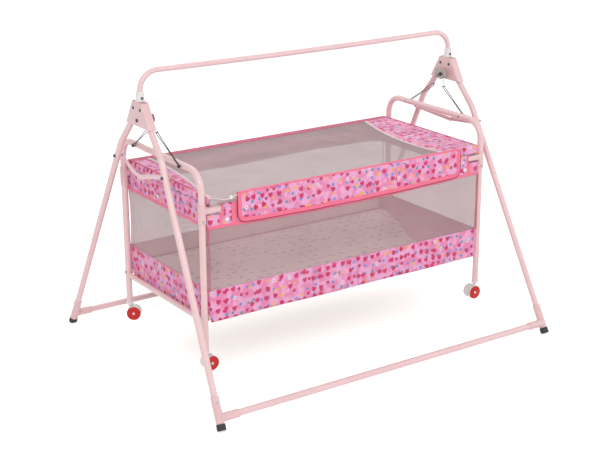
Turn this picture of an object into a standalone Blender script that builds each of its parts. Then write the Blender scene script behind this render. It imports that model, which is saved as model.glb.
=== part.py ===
"""Baby cradle hung from a folding swing stand.

Units are metres, +X runs along the cradle, +Y towards its back and +Z up.
The origin is on the floor, under the middle of the stand.
"""
import math

import bmesh
import bpy
import numpy as np
from mathutils import Matrix, Quaternion, Vector

# Driving dimensions of the stand
TUBE_RADIUS = 0.0095
BAR_RADIUS = 0.008
BAR_HEIGHT = 0.900
BAR_RISE = 0.0853
BAR_BEND = 0.057
BAR_SAG = 0.004
FOOT_SPAN_X = 1.191
FOOT_SPAN_Y = 0.944
FOOT_SPLAY_X = 0.0378
HEAD_TOP_RISE = 0.0197
HEAD_FOOT_DROP = 0.050
LEG_PIVOT_Y = 0.0205
LEG_KNEE_OUT = 0.1018
LEG_KNEE_DROP = 0.1238
LEG_BEND = 0.075
LEG_NECK_BEND = 0.020
LEG_NECK_DROP = 0.010
LEG_HEAD_RISE = 0.011

# Driving dimensions of the cradle
SWING_DROP = 0.033
HANG_DROP = 0.110
HOOP_MARGIN_X = 0.0537
HOOP_SPAN_Y = 0.468
HOOP_FOOT_Z = 0.128
HOOP_BEND = 0.058
TOP_RAIL_DROP = 0.109
FLOOR_RAIL_RISE = 0.098
FLOOR_RAIL_RADIUS = 0.008

# Heights and spans that follow, from the top bar down and from the feet in
HEAD_TOP_Z = BAR_HEIGHT - BAR_RISE
LEG_PIVOT_Z = HEAD_TOP_Z - HEAD_TOP_RISE
HEAD_FOOT_Z = LEG_PIVOT_Z - HEAD_FOOT_DROP
LEG_KNEE_Y = LEG_PIVOT_Y + LEG_KNEE_OUT
LEG_KNEE_Z = LEG_PIVOT_Z - LEG_KNEE_DROP
PIVOT_Z = LEG_PIVOT_Z - SWING_DROP
HOOP_TOP_Z = PIVOT_Z - HANG_DROP
TOP_RAIL_Z = HOOP_TOP_Z - TOP_RAIL_DROP
FLOOR_RAIL_Z = HOOP_FOOT_Z + FLOOR_RAIL_RISE
HEAD_SPAN_X = FOOT_SPAN_X - 2 * FOOT_SPLAY_X
HOOP_SPAN_X = HEAD_SPAN_X - 2 * HOOP_MARGIN_X

# Fits, walls and overruns
SEAT_GAP = 0.0003
RUNNING_GAP = 0.0003
OVERRUN = 0.004
SHEET_STEEL = 0.0012
SOCKET_WALL = 0.0022

# Facets of round pieces
TUBE_SIDES = 16
PIN_SIDES = 10
WIRE_SIDES = 6
BEND_STEPS = 5
WIRE_BEND_STEPS = 3

SIDES = {"left": -1, "right": 1}
ENDS = {"front": -1, "back": 1}


def clear_scene():
    for item in list(bpy.data.objects):
        bpy.data.objects.remove(item, do_unlink=True)


def new_collection(name):
    collection = bpy.data.collections.new(name)
    bpy.context.scene.collection.children.link(collection)
    return collection


clear_scene()
PARTS = new_collection("baby_cradle")
CUTTERS = new_collection("cutters")


def material(name, colour, roughness, metallic=0.0):
    made = bpy.data.materials.new(name)
    made.use_nodes = True
    shader = made.node_tree.nodes["Principled BSDF"]
    shader.inputs["Base Color"].default_value = (*colour, 1.0)
    shader.inputs["Roughness"].default_value = roughness
    shader.inputs["Metallic"].default_value = metallic
    made.diffuse_color = (*colour, 1.0)
    return made


PINK_PAINT = material("pink_paint", (0.80, 0.50, 0.53), 0.35)
WHITE_PLASTIC = material("white_plastic", (0.80, 0.78, 0.78), 0.35)
BLACK_RUBBER = material("black_rubber", (0.02, 0.02, 0.02), 0.75)
DARK_STEEL = material("dark_steel", (0.12, 0.11, 0.11), 0.40, 1.0)
GREY_STEEL = material("grey_steel", (0.40, 0.38, 0.36), 0.40, 1.0)
PRINTED_CLOTH = material("printed_cloth", (0.80, 0.25, 0.45), 0.85)
NETTING = material("netting", (0.75, 0.68, 0.69), 0.90)
MATTRESS_CLOTH = material("mattress_cloth", (0.74, 0.64, 0.65), 0.90)
BOARD = material("board", (0.62, 0.50, 0.42), 0.80)


def add_mesh(name, mesh, finish):
    """Links a mesh that is already in world coordinates as one of the parts."""
    part = bpy.data.objects.new(name, mesh)
    part.data.materials.clear()
    part.data.materials.append(finish)
    PARTS.objects.link(part)
    return part


def as_tool(part):
    """Turns a solid into a cutter or a piece to be joined, outside the parts."""
    PARTS.objects.unlink(part)
    CUTTERS.objects.link(part)
    part.hide_render = True
    part.display_type = "WIRE"
    return part


def combine(part, tools, operation):
    for tool in tools:
        step = part.modifiers.new(operation.lower(), "BOOLEAN")
        step.operation = operation
        step.object = as_tool(tool)
    return part


def cut(part, *tools):
    return combine(part, tools, "DIFFERENCE")


def join(part, *tools):
    return combine(part, tools, "UNION")


def shade(part, angle=math.radians(40)):
    part.data.shade_smooth()
    part.data.set_sharp_from_angle(angle=angle)
    return part


def rounded_path(corners, radii, steps=BEND_STEPS):
    """Straight runs between the corners, with an arc at each inner corner."""
    corners = [Vector(corner) for corner in corners]
    path = [corners[0]]
    for before, corner, after, radius in zip(corners, corners[1:], corners[2:], radii):
        arriving = (corner - before).normalized()
        leaving = (after - corner).normalized()
        turn = arriving.angle(leaving)
        setback = radius * math.tan(turn / 2)
        normal = arriving.cross(leaving).normalized()
        start = corner - arriving * setback
        centre = start + normal.cross(arriving) * radius
        for step in range(steps + 1):
            spoke = Quaternion(normal, turn * step / steps) @ (start - centre)
            path.append(centre + spoke)
    path.append(corners[-1])
    return path


def swept(name, path, radius, finish, sides=TUBE_SIDES, closed=False):
    """A round bar along a path: a bevelled poly curve with filled caps, made a mesh."""
    curve = bpy.data.curves.new(name, "CURVE")
    curve.dimensions = "3D"
    curve.bevel_depth = radius
    curve.bevel_resolution = (sides - 4) // 2
    curve.use_fill_caps = not closed
    spline = curve.splines.new("POLY")
    spline.points.add(len(path) - 1)
    for point, place in zip(spline.points, path):
        point.co = (*place, 1.0)
    spline.use_cyclic_u = closed
    return curve_to_part(name, curve, finish, Matrix.Identity(4))


def curve_to_part(name, curve, finish, place):
    source = bpy.data.objects.new(name + "_curve", curve)
    PARTS.objects.link(source)
    source.matrix_world = place
    bpy.context.view_layer.update()
    depsgraph = bpy.context.evaluated_depsgraph_get()
    mesh = bpy.data.meshes.new_from_object(source.evaluated_get(depsgraph))
    mesh.name = name
    bpy.data.objects.remove(source, do_unlink=True)
    mesh.transform(place)
    weld = bmesh.new()
    weld.from_mesh(mesh)
    bmesh.ops.remove_doubles(weld, verts=weld.verts, dist=1e-6)
    bmesh.ops.recalc_face_normals(weld, faces=weld.faces)
    weld.to_mesh(mesh)
    weld.free()
    return shade(add_mesh(name, mesh, finish))


def rod(name, start, end, radius, finish, sides=PIN_SIDES, end_radius=None):
    """A straight round rod, or a cone, between two points."""
    start, end = Vector(start), Vector(end)
    mesh = bpy.data.meshes.new(name)
    build = bmesh.new()
    bmesh.ops.create_cone(
        build,
        cap_ends=True,
        segments=sides,
        radius1=radius,
        radius2=radius if end_radius is None else end_radius,
        depth=(end - start).length,
    )
    turn = Vector((0, 0, 1)).rotation_difference(end - start).to_matrix().to_4x4()
    bmesh.ops.transform(build, matrix=Matrix.Translation((start + end) / 2) @ turn, verts=build.verts)
    build.to_mesh(mesh)
    build.free()
    return shade(add_mesh(name, mesh, finish))


def block(name, low, high, finish, bevel=0.0):
    """A box between two corners, with its upright edges rounded if a bevel is given."""
    low, high = Vector(low), Vector(high)
    mesh = bpy.data.meshes.new(name)
    build = bmesh.new()
    bmesh.ops.create_cube(build, size=1.0)
    size = high - low
    place = Matrix.Translation((low + high) / 2) @ Matrix.Diagonal((*size, 1.0))
    bmesh.ops.transform(build, matrix=place, verts=build.verts)
    if bevel:
        upright = [e for e in build.edges if abs(e.verts[0].co.z - e.verts[1].co.z) > size.z / 2]
        bmesh.ops.bevel(build, geom=upright, offset=bevel, segments=3, affect="EDGES", profile=0.5)
    build.to_mesh(mesh)
    build.free()
    return add_mesh(name, mesh, finish)


def turned(name, profile, place, finish, steps=TUBE_SIDES, closed=False):
    """A turned piece: the profile (radius, height) runs down its outer side, spun round Z."""
    mesh = bpy.data.meshes.new(name)
    edges = [(i, i + 1) for i in range(len(profile) - 1)]
    if closed:
        edges.append((len(profile) - 1, 0))
    mesh.from_pydata([(radius, 0.0, height) for radius, height in profile], edges, [])
    part = add_mesh(name, mesh, finish)
    part.matrix_world = place
    screw = part.modifiers.new("turn", "SCREW")
    screw.steps = steps
    screw.render_steps = steps
    screw.use_merge_vertices = True
    screw.merge_threshold = 1e-6
    screw.use_smooth_shade = True
    return part


def plate(name, outline, holes, thickness, place, finish):
    """A flat plate: a filled outline with round holes, extruded to its thickness."""
    curve = bpy.data.curves.new(name, "CURVE")
    curve.dimensions = "2D"
    curve.fill_mode = "BOTH"
    curve.extrude = thickness / 2
    for loop in [outline, *holes]:
        spline = curve.splines.new("POLY")
        spline.points.add(len(loop) - 1)
        for point, spot in zip(spline.points, loop):
            point.co = (spot[0], spot[1], 0.0, 1.0)
        spline.use_cyclic_u = True
    return curve_to_part(name, curve, finish, place)


def circle(centre, radius, sides=PIN_SIDES):
    angles = [2 * math.pi * i / sides for i in range(sides)]
    return [(centre[0] + radius * math.cos(a), centre[1] + radius * math.sin(a)) for a in angles]


def facing_x(x):
    """Lays a flat outline in the plane at x, its first axis along Y and its second along Z."""
    turn = Matrix(((0, 0, 1), (1, 0, 0), (0, 1, 0))).to_4x4()
    return Matrix.Translation((x, 0, 0)) @ turn


def attach(parent, *parts):
    """Parents the pieces where they are."""
    bpy.context.view_layer.update()
    for part in parts:
        part.parent = parent
        part.matrix_parent_inverse = parent.matrix_world.inverted()


def joint_empty(name, place, *parts):
    """An empty on a joint's axis that carries the pieces that turn about it."""
    empty = bpy.data.objects.new(name, None)
    PARTS.objects.link(empty)
    empty.location = place
    attach(empty, *parts)
    return empty


# Stand: legs, base bars, sockets and rubber tips
LEG_END_Z = 0.0065
RIVET_RADIUS = 0.003
RIVET_HEAD_RADIUS = 0.0045
RIVET_HEAD_HEIGHT = 0.0018
BOLT_RADIUS = 0.003
BOLT_HEAD_RADIUS = 0.0052
BOLT_HEAD_HEIGHT = 0.003
STAY_BOLT_DROP = 0.0432
SOCKET_BOLT_RISE = 0.036
SOCKET_TOP_RISE = 0.052
BASE_BAR_Z = 0.034
BASE_BAR_OUTSET = 0.0045
BASE_BAR_END_GAP = 0.0020
SOCKET_ARM = 0.060
TIP_RADIUS = 0.013
TIP_TOP_Z = 0.0178
TIP_SOLE_Z = 0.002
TIP_FLOOR_GAP = 0.0004
SOCKET_RADIUS = TUBE_RADIUS + SEAT_GAP + SOCKET_WALL
SOCKET_FOOT_Z = TIP_TOP_Z + 2 * SEAT_GAP
STAY_BOLT_Z = LEG_KNEE_Z - STAY_BOLT_DROP
SOCKET_BOLT_Z = BASE_BAR_Z + SOCKET_BOLT_RISE
SOCKET_TOP_Z = BASE_BAR_Z + SOCKET_TOP_RISE

LEG_LEAN = (FOOT_SPAN_X - HEAD_SPAN_X) / 2 / LEG_PIVOT_Z
LEG_SLOPE = (FOOT_SPAN_Y / 2 - LEG_KNEE_Y) / LEG_KNEE_Z


def leg_x(z):
    return FOOT_SPAN_X / 2 - LEG_LEAN * z


def leg_y(z):
    return FOOT_SPAN_Y / 2 - LEG_SLOPE * z


def leg_point(side, end, z):
    """A point on the axis of a leg's long lower run."""
    return Vector((side * leg_x(z), end * leg_y(z), z))


def leg_normal(end):
    """Outward and square to a leg's long lower run."""
    return Vector((0, end, LEG_SLOPE)).normalized()


def cross_pin(x, y, z, reach, radius, finish, name="pin_tool"):
    """A pin along X through the point, reaching the same way to both sides."""
    return rod(name, (x - reach, y, z), (x + reach, y, z), radius, finish)


def make_leg(side_name, end_name):
    side, end = SIDES[side_name], ENDS[end_name]
    profile = (
        (LEG_PIVOT_Y, LEG_PIVOT_Z + LEG_HEAD_RISE),
        (LEG_PIVOT_Y, LEG_PIVOT_Z - LEG_NECK_DROP),
        (LEG_KNEE_Y, LEG_KNEE_Z),
        (leg_y(LEG_END_Z), LEG_END_Z),
    )
    corners = [(side * leg_x(z), end * y, z) for y, z in profile]
    path = rounded_path(corners, (LEG_NECK_BEND, LEG_BEND))
    leg = swept(f"leg_{end_name}_{side_name}", path, TUBE_RADIUS, PINK_PAINT)
    reach = TUBE_RADIUS + OVERRUN
    pivot = cross_pin(
        side * leg_x(LEG_PIVOT_Z), end * LEG_PIVOT_Y, LEG_PIVOT_Z,
        reach, RIVET_RADIUS + RUNNING_GAP, PINK_PAINT,
    )
    stay = cross_pin(
        side * leg_x(STAY_BOLT_Z), end * leg_y(STAY_BOLT_Z), STAY_BOLT_Z,
        reach, BOLT_RADIUS + RUNNING_GAP, PINK_PAINT,
    )
    place = leg_point(side, end, SOCKET_BOLT_Z)
    across = leg_normal(end) * reach
    bolt = rod("pin_tool", place - across, place + across, BOLT_RADIUS + SEAT_GAP, PINK_PAINT)
    return cut(leg, pivot, stay, bolt)


def make_foot_socket(side_name, end_name):
    side, end = SIDES[side_name], ENDS[end_name]
    top, foot = leg_point(side, end, SOCKET_TOP_Z), leg_point(side, end, SOCKET_FOOT_Z)
    along = (top - foot).normalized() * OVERRUN
    bar_y = end * (leg_y(BASE_BAR_Z) + BASE_BAR_OUTSET)
    root = Vector((side * leg_x(BASE_BAR_Z), bar_y, BASE_BAR_Z))
    mouth = root - Vector((side * SOCKET_ARM, 0, 0))
    past = Vector((side * OVERRUN, 0, 0))
    socket = rod(f"foot_socket_{end_name}_{side_name}", foot, top, SOCKET_RADIUS, PINK_PAINT, TUBE_SIDES)
    arm = rod("arm_tool", mouth, root, SOCKET_RADIUS, PINK_PAINT, TUBE_SIDES)
    bore_radius = TUBE_RADIUS + SEAT_GAP
    leg_bore = rod("bore_tool", foot - along, top + along, bore_radius, PINK_PAINT, TUBE_SIDES)
    bar_bore = rod("bore_tool", mouth - past, root, bore_radius, PINK_PAINT, TUBE_SIDES)
    join(socket, arm)
    cut(socket, leg_bore, bar_bore)
    bolt_place = leg_point(side, end, SOCKET_BOLT_Z)
    outward = leg_normal(end)
    shank = rod(
        "bolt_tool",
        bolt_place - outward * SOCKET_RADIUS,
        bolt_place + outward * SOCKET_RADIUS,
        BOLT_RADIUS, PINK_PAINT,
    )
    seat = bolt_place + outward * (SOCKET_RADIUS - SOCKET_WALL / 2)
    head = rod("bolt_tool", seat, seat + outward * BOLT_HEAD_HEIGHT, BOLT_HEAD_RADIUS, PINK_PAINT, 6)
    return join(socket, shank, head)


def make_base_bar(end_name):
    end = ENDS[end_name]
    reach = leg_x(BASE_BAR_Z) - TUBE_RADIUS - BASE_BAR_END_GAP
    y = end * (leg_y(BASE_BAR_Z) + BASE_BAR_OUTSET)
    ends = [(-reach, y, BASE_BAR_Z), (reach, y, BASE_BAR_Z)]
    return rod(f"base_bar_{end_name}", *ends, TUBE_RADIUS, PINK_PAINT, TUBE_SIDES)


def make_foot_tip(side_name, end_name):
    """A rubber cup on the leg's end, worn flat where it meets the floor."""
    side, end = SIDES[side_name], ENDS[end_name]
    top, sole = leg_point(side, end, TIP_TOP_Z), leg_point(side, end, TIP_SOLE_Z)
    tip = rod(f"foot_tip_{end_name}_{side_name}", sole, top, TIP_RADIUS, BLACK_RUBBER, TUBE_SIDES)
    floor_of_cup = leg_point(side, end, LEG_END_Z - TIP_FLOOR_GAP)
    over = (top - sole).normalized() * OVERRUN
    bore = rod("bore_tool", floor_of_cup, top + over, TUBE_RADIUS + SEAT_GAP, BLACK_RUBBER, TUBE_SIDES)
    reach = Vector((2 * TIP_RADIUS, 2 * TIP_RADIUS, 0))
    below = Vector((sole.x, sole.y, 0))
    ground = block("ground_tool", below - reach - Vector((0, 0, TIP_RADIUS)), below + reach, BLACK_RUBBER)
    return cut(tip, bore, ground)


# Stand: top bar, sleeves and head brackets
HEAD_TOP_HALF = 0.029
HEAD_FOOT_HALF = 0.071
HEAD_CORNER = 0.004
SLEEVE_HEIGHT = 0.0297
SLEEVE_TOP_RADIUS = 0.0105
SLEEVE_FOOT_RADIUS = 0.013
SLEEVE_LIP = 0.0015
SLEEVE_BOLT_RISE = 0.0113
SLEEVE_BOLT_RADIUS = 0.002
SLEEVE_BOLT_HEAD_RADIUS = 0.0038
BAR_END_DROP = 0.0102
BAR_RUN_PIECES = 10
PIVOT_RADIUS = 0.004
PIVOT_HEAD_RADIUS = 0.006
PIVOT_HEAD_HEIGHT = 0.004
SPACER_RADIUS = 0.007

SLEEVE_TOP_Z = HEAD_TOP_Z + SLEEVE_HEIGHT
SLEEVE_BOLT_Z = HEAD_TOP_Z + SLEEVE_BOLT_RISE
BAR_END_Z = HEAD_TOP_Z - BAR_END_DROP
HEAD_INNER_X = leg_x(LEG_PIVOT_Z + LEG_HEAD_RISE) - TUBE_RADIUS - RUNNING_GAP - SHEET_STEEL
HEAD_OUTER_X = leg_x(HEAD_FOOT_Z) + TUBE_RADIUS + RUNNING_GAP + SHEET_STEEL
HEAD_MIDDLE_X = (HEAD_INNER_X + HEAD_OUTER_X) / 2


def make_top_bar():
    corners = (
        (-HEAD_MIDDLE_X, 0, BAR_END_Z),
        (-HEAD_MIDDLE_X, 0, BAR_HEIGHT),
        (HEAD_MIDDLE_X, 0, BAR_HEIGHT),
        (HEAD_MIDDLE_X, 0, BAR_END_Z),
    )
    path = rounded_path(corners, (BAR_BEND, BAR_BEND))
    middle = len(path) // 2
    start, finish = path[middle - 1], path[middle]
    run = [start.lerp(finish, i / BAR_RUN_PIECES) for i in range(1, BAR_RUN_PIECES)]
    path = path[:middle] + run + path[middle:]
    for point in path:
        share = 1 - (point.x / HEAD_MIDDLE_X) ** 2
        point.z -= BAR_SAG * max(share, 0.0)
    bar = swept("top_bar", path, BAR_RADIUS, PINK_PAINT)
    reach = BAR_RADIUS + OVERRUN
    holes = [
        rod(
            "bore_tool",
            (side * HEAD_MIDDLE_X, -reach, SLEEVE_BOLT_Z),
            (side * HEAD_MIDDLE_X, reach, SLEEVE_BOLT_Z),
            SLEEVE_BOLT_RADIUS + SEAT_GAP, PINK_PAINT,
        )
        for side in SIDES.values()
    ]
    return cut(bar, *holes)


def make_bar_sleeve(side_name):
    side = SIDES[side_name]
    bore = BAR_RADIUS + SEAT_GAP
    seat = HEAD_TOP_Z + SEAT_GAP
    profile = (
        (bore, SLEEVE_TOP_Z),
        (SLEEVE_TOP_RADIUS - SLEEVE_LIP, SLEEVE_TOP_Z),
        (SLEEVE_TOP_RADIUS, SLEEVE_TOP_Z - SLEEVE_LIP),
        (SLEEVE_FOOT_RADIUS, seat + SLEEVE_LIP),
        (SLEEVE_FOOT_RADIUS, seat),
        (bore, seat),
    )
    place = Matrix.Translation((side * HEAD_MIDDLE_X, 0, 0))
    sleeve = turned(f"bar_sleeve_{side_name}", profile, place, WHITE_PLASTIC, closed=True)
    x, reach = side * HEAD_MIDDLE_X, SLEEVE_FOOT_RADIUS + SLEEVE_LIP
    ends = [(x, -reach, SLEEVE_BOLT_Z), (x, reach, SLEEVE_BOLT_Z)]
    shank = rod("bolt_tool", *ends, SLEEVE_BOLT_RADIUS, DARK_STEEL)
    head = rod(
        "bolt_tool",
        (x, -reach - SLEEVE_BOLT_RADIUS, SLEEVE_BOLT_Z),
        (x, -SLEEVE_TOP_RADIUS, SLEEVE_BOLT_Z),
        SLEEVE_BOLT_HEAD_RADIUS, DARK_STEEL,
    )
    return join(sleeve, shank, head)


def make_head_bracket(side_name):
    """A pressed-steel box, open above and below, with the two leg rivets closed into it."""
    side = SIDES[side_name]
    mesh = bpy.data.meshes.new(f"head_bracket_{side_name}")
    build = bmesh.new()
    bmesh.ops.create_cube(build, size=2.0)
    for vert in build.verts:
        half = HEAD_TOP_HALF if vert.co.z > 0 else HEAD_FOOT_HALF
        vert.co.x = side * HEAD_MIDDLE_X + vert.co.x * (HEAD_OUTER_X - HEAD_INNER_X) / 2
        vert.co.y *= half
        vert.co.z = HEAD_TOP_Z if vert.co.z > 0 else HEAD_FOOT_Z
    ends = [face for face in build.faces if abs(face.normal.z) > abs(face.normal.x) + abs(face.normal.y)]
    bmesh.ops.delete(build, geom=ends, context="FACES_ONLY")
    upright = [edge for edge in build.edges if not edge.is_boundary]
    bmesh.ops.bevel(build, geom=upright, offset=HEAD_CORNER, segments=3, affect="EDGES", profile=0.5)
    build.to_mesh(mesh)
    build.free()
    bracket = shade(add_mesh(f"head_bracket_{side_name}", mesh, PINK_PAINT))
    wall = bracket.modifiers.new("sheet", "SOLIDIFY")
    wall.thickness = SHEET_STEEL
    wall.offset = -1.0
    wall.use_even_offset = True
    reach = (HEAD_OUTER_X - HEAD_INNER_X) / 2
    middle = side * HEAD_MIDDLE_X
    for end in ENDS.values():
        y = end * LEG_PIVOT_Y
        shank = cross_pin(middle, y, LEG_PIVOT_Z, reach + RIVET_HEAD_HEIGHT / 2, RIVET_RADIUS, PINK_PAINT)
        heads = [
            rod(
                "rivet_tool",
                (middle + way * (reach - SHEET_STEEL / 2), y, LEG_PIVOT_Z),
                (middle + way * (reach + RIVET_HEAD_HEIGHT), y, LEG_PIVOT_Z),
                RIVET_HEAD_RADIUS, PINK_PAINT,
                end_radius=RIVET_RADIUS,
            )
            for way in SIDES.values()
        ]
        join(bracket, shank, *heads)
    hole = cross_pin(middle, 0, PIVOT_Z, reach + OVERRUN, PIVOT_RADIUS + SEAT_GAP, PINK_PAINT)
    return cut(bracket, hole)


# Hanger: pivot bolts, plates, hooks and links
HANGER_SHEET = 0.002
HANGER_STANDOFF = 0.0150
LOBE_RADIUS = 0.0135
LOBE_Y = 0.0155
LOBE_RISE = 0.004
PLATE_TIP_DROP = 0.018
EYE_Y = 0.0135
EYE_DROP = 0.001
EYE_RADIUS = 0.0030
HOOK_RADIUS = 0.0013
HOOK_BEND = 0.0022
HOOK_TAIL = 0.007
HOOK_HALF_GAP = 0.0042
LINK_RADIUS = 0.00125
LINK_TOP_Y = 0.0235
LINK_TOP_DROP = 0.036
LINK_TOP_HALF = 0.0045
LINK_WAIST_HALF = 0.0018
LINK_WAIST_SHARE = 0.55
LINK_BOLT_Y = 0.137
LINK_BOLT_RADIUS = 0.003
LINK_BOLT_NUT_RADIUS = 0.005
LINK_BOLT_STEM = 0.0060
LINK_BOLT_NUT_HEIGHT = 0.0025
LINK_ARC_STEPS = 6

PLATE_OUTER_X = HEAD_INNER_X - HANGER_STANDOFF
PLATE_INNER_X = PLATE_OUTER_X - HANGER_SHEET
HOOK_OUTER_X = PLATE_OUTER_X + SEAT_GAP + HOOK_RADIUS
HOOK_INNER_X = PLATE_INNER_X - SEAT_GAP - HOOK_RADIUS
LINK_TOP_X = HOOK_INNER_X - HOOK_HALF_GAP
HOOP_X = HOOP_SPAN_X / 2
HOOP_Y = HOOP_SPAN_Y / 2
LINK_FOOT_X = HOOP_X + TUBE_RADIUS + LINK_BOLT_STEM / 2
LINK_TOP_Z = PIVOT_Z - LINK_TOP_DROP


def make_pivot_bolt(side_name):
    side = SIDES[side_name]

    def at(x):
        return (side * x, 0, PIVOT_Z)

    outside = HEAD_OUTER_X + SEAT_GAP
    nut = PLATE_INNER_X - SEAT_GAP
    bolt = rod(
        f"pivot_bolt_{side_name}",
        at(nut - PIVOT_HEAD_HEIGHT / 2), at(outside + PIVOT_HEAD_HEIGHT / 2),
        PIVOT_RADIUS, GREY_STEEL,
    )
    head = rod("bolt_tool", at(outside), at(outside + PIVOT_HEAD_HEIGHT), PIVOT_HEAD_RADIUS, GREY_STEEL, 6)
    lock = rod("bolt_tool", at(nut - PIVOT_HEAD_HEIGHT), at(nut), PIVOT_HEAD_RADIUS, GREY_STEEL, 6)
    spacer = rod(
        "bolt_tool", at(PLATE_OUTER_X + SEAT_GAP), at(HEAD_INNER_X - SEAT_GAP), SPACER_RADIUS, GREY_STEEL,
    )
    return join(bolt, head, lock, spacer)


def make_hanger_plate(side_name):
    """A two-lobed plate that turns on the pivot bolt, with an eye in each lobe."""
    side = SIDES[side_name]
    outline = [(0.0, -PLATE_TIP_DROP)]
    for lobe, first, last in ((1, -40, 140), (-1, 40, 220)):
        for angle in np.radians(np.linspace(first, last, LINK_ARC_STEPS)):
            across = LOBE_RADIUS * math.cos(angle)
            upward = LOBE_RADIUS * math.sin(angle)
            outline.append((lobe * LOBE_Y + across, LOBE_RISE + upward))
    holes = [circle((0, 0), PIVOT_RADIUS + RUNNING_GAP)]
    holes += [circle((end * EYE_Y, -EYE_DROP), EYE_RADIUS) for end in ENDS.values()]
    middle = side * (PLATE_OUTER_X + PLATE_INNER_X) / 2
    place = Matrix.Translation((0, 0, PIVOT_Z)) @ facing_x(middle)
    return plate(f"hanger_plate_{side_name}", outline, holes, HANGER_SHEET, place, GREY_STEEL)


def link_ends(side, end):
    top = Vector((side * LINK_TOP_X, end * LINK_TOP_Y, LINK_TOP_Z))
    foot = Vector((side * LINK_FOOT_X, end * LINK_BOLT_Y, HOOP_TOP_Z))
    return top, foot


def make_hook(side_name, end_name):
    """A wire hook: through the plate's eye above, through the link's loop below."""
    side, end = SIDES[side_name], ENDS[end_name]
    top, foot = link_ends(side, end)
    down = (foot - top).normalized()
    eye_z = PIVOT_Z - EYE_DROP - (EYE_RADIUS - HOOK_RADIUS - 2 * SEAT_GAP)
    low = top + down * (LINK_RADIUS + HOOK_RADIUS + SEAT_GAP)
    inner_x = side * (LINK_TOP_X - HOOK_HALF_GAP)
    corners = (
        (side * HOOK_OUTER_X, end * EYE_Y, eye_z - HOOK_TAIL),
        (side * HOOK_OUTER_X, end * EYE_Y, eye_z),
        (side * HOOK_INNER_X, end * EYE_Y, eye_z),
        (side * HOOK_INNER_X, low.y, low.z),
        (inner_x, low.y, low.z),
        (inner_x, low.y - down.y * HOOK_TAIL, low.z - down.z * HOOK_TAIL),
    )
    path = rounded_path(corners, (HOOK_BEND,) * 4, WIRE_BEND_STEPS)
    return swept(f"hook_{end_name}_{side_name}", path, HOOK_RADIUS, GREY_STEEL, sides=WIRE_SIDES)


def make_link(side_name, end_name):
    """A closed loop of wire, wide round the hook and drawn in towards the bolt on the hoop."""
    side, end = SIDES[side_name], ENDS[end_name]
    top, foot = link_ends(side, end)
    along = foot - top
    length = along.length
    along.normalize()
    across = along.cross(Vector((1, 0, 0))).normalized()
    eye = LINK_BOLT_RADIUS + SEAT_GAP + LINK_RADIUS
    turn = np.linspace(0, math.pi, LINK_ARC_STEPS)
    head = [(LINK_TOP_HALF * (1 - math.sin(a)), LINK_TOP_HALF * math.cos(a)) for a in turn]
    waist = [(length * LINK_WAIST_SHARE, LINK_WAIST_HALF), (length - 2.5 * eye, LINK_WAIST_HALF)]
    tail = [(length + eye * math.sin(a), -eye * math.cos(a)) for a in turn]
    loop = head + [(u, -w) for u, w in waist] + tail + waist[::-1]
    path = [top + along * u + across * w for u, w in loop]
    name = f"link_{end_name}_{side_name}"
    return swept(name, path, LINK_RADIUS, DARK_STEEL, sides=WIRE_SIDES, closed=True)


# Stays: two folding halves on each side, hinged on the legs, with knuckles off the middle
STAY_HALF_HEIGHT = 0.0065
STAY_THICKNESS = 0.0045
STAY_LAP_GAP = 0.0006
STAY_LEG_GAP = 0.0012
KNUCKLE_RADIUS = 0.0095
KNUCKLE_RIVET_RADIUS = 0.005
KNUCKLE_Y = {"left": 0.040, "right": -0.035}
KNUCKLE_DROP = {"left": 0.043, "right": 0.011}
STAY_BOW = {("left", "back"): 0.012}
STAY_STEPS = 8


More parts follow.
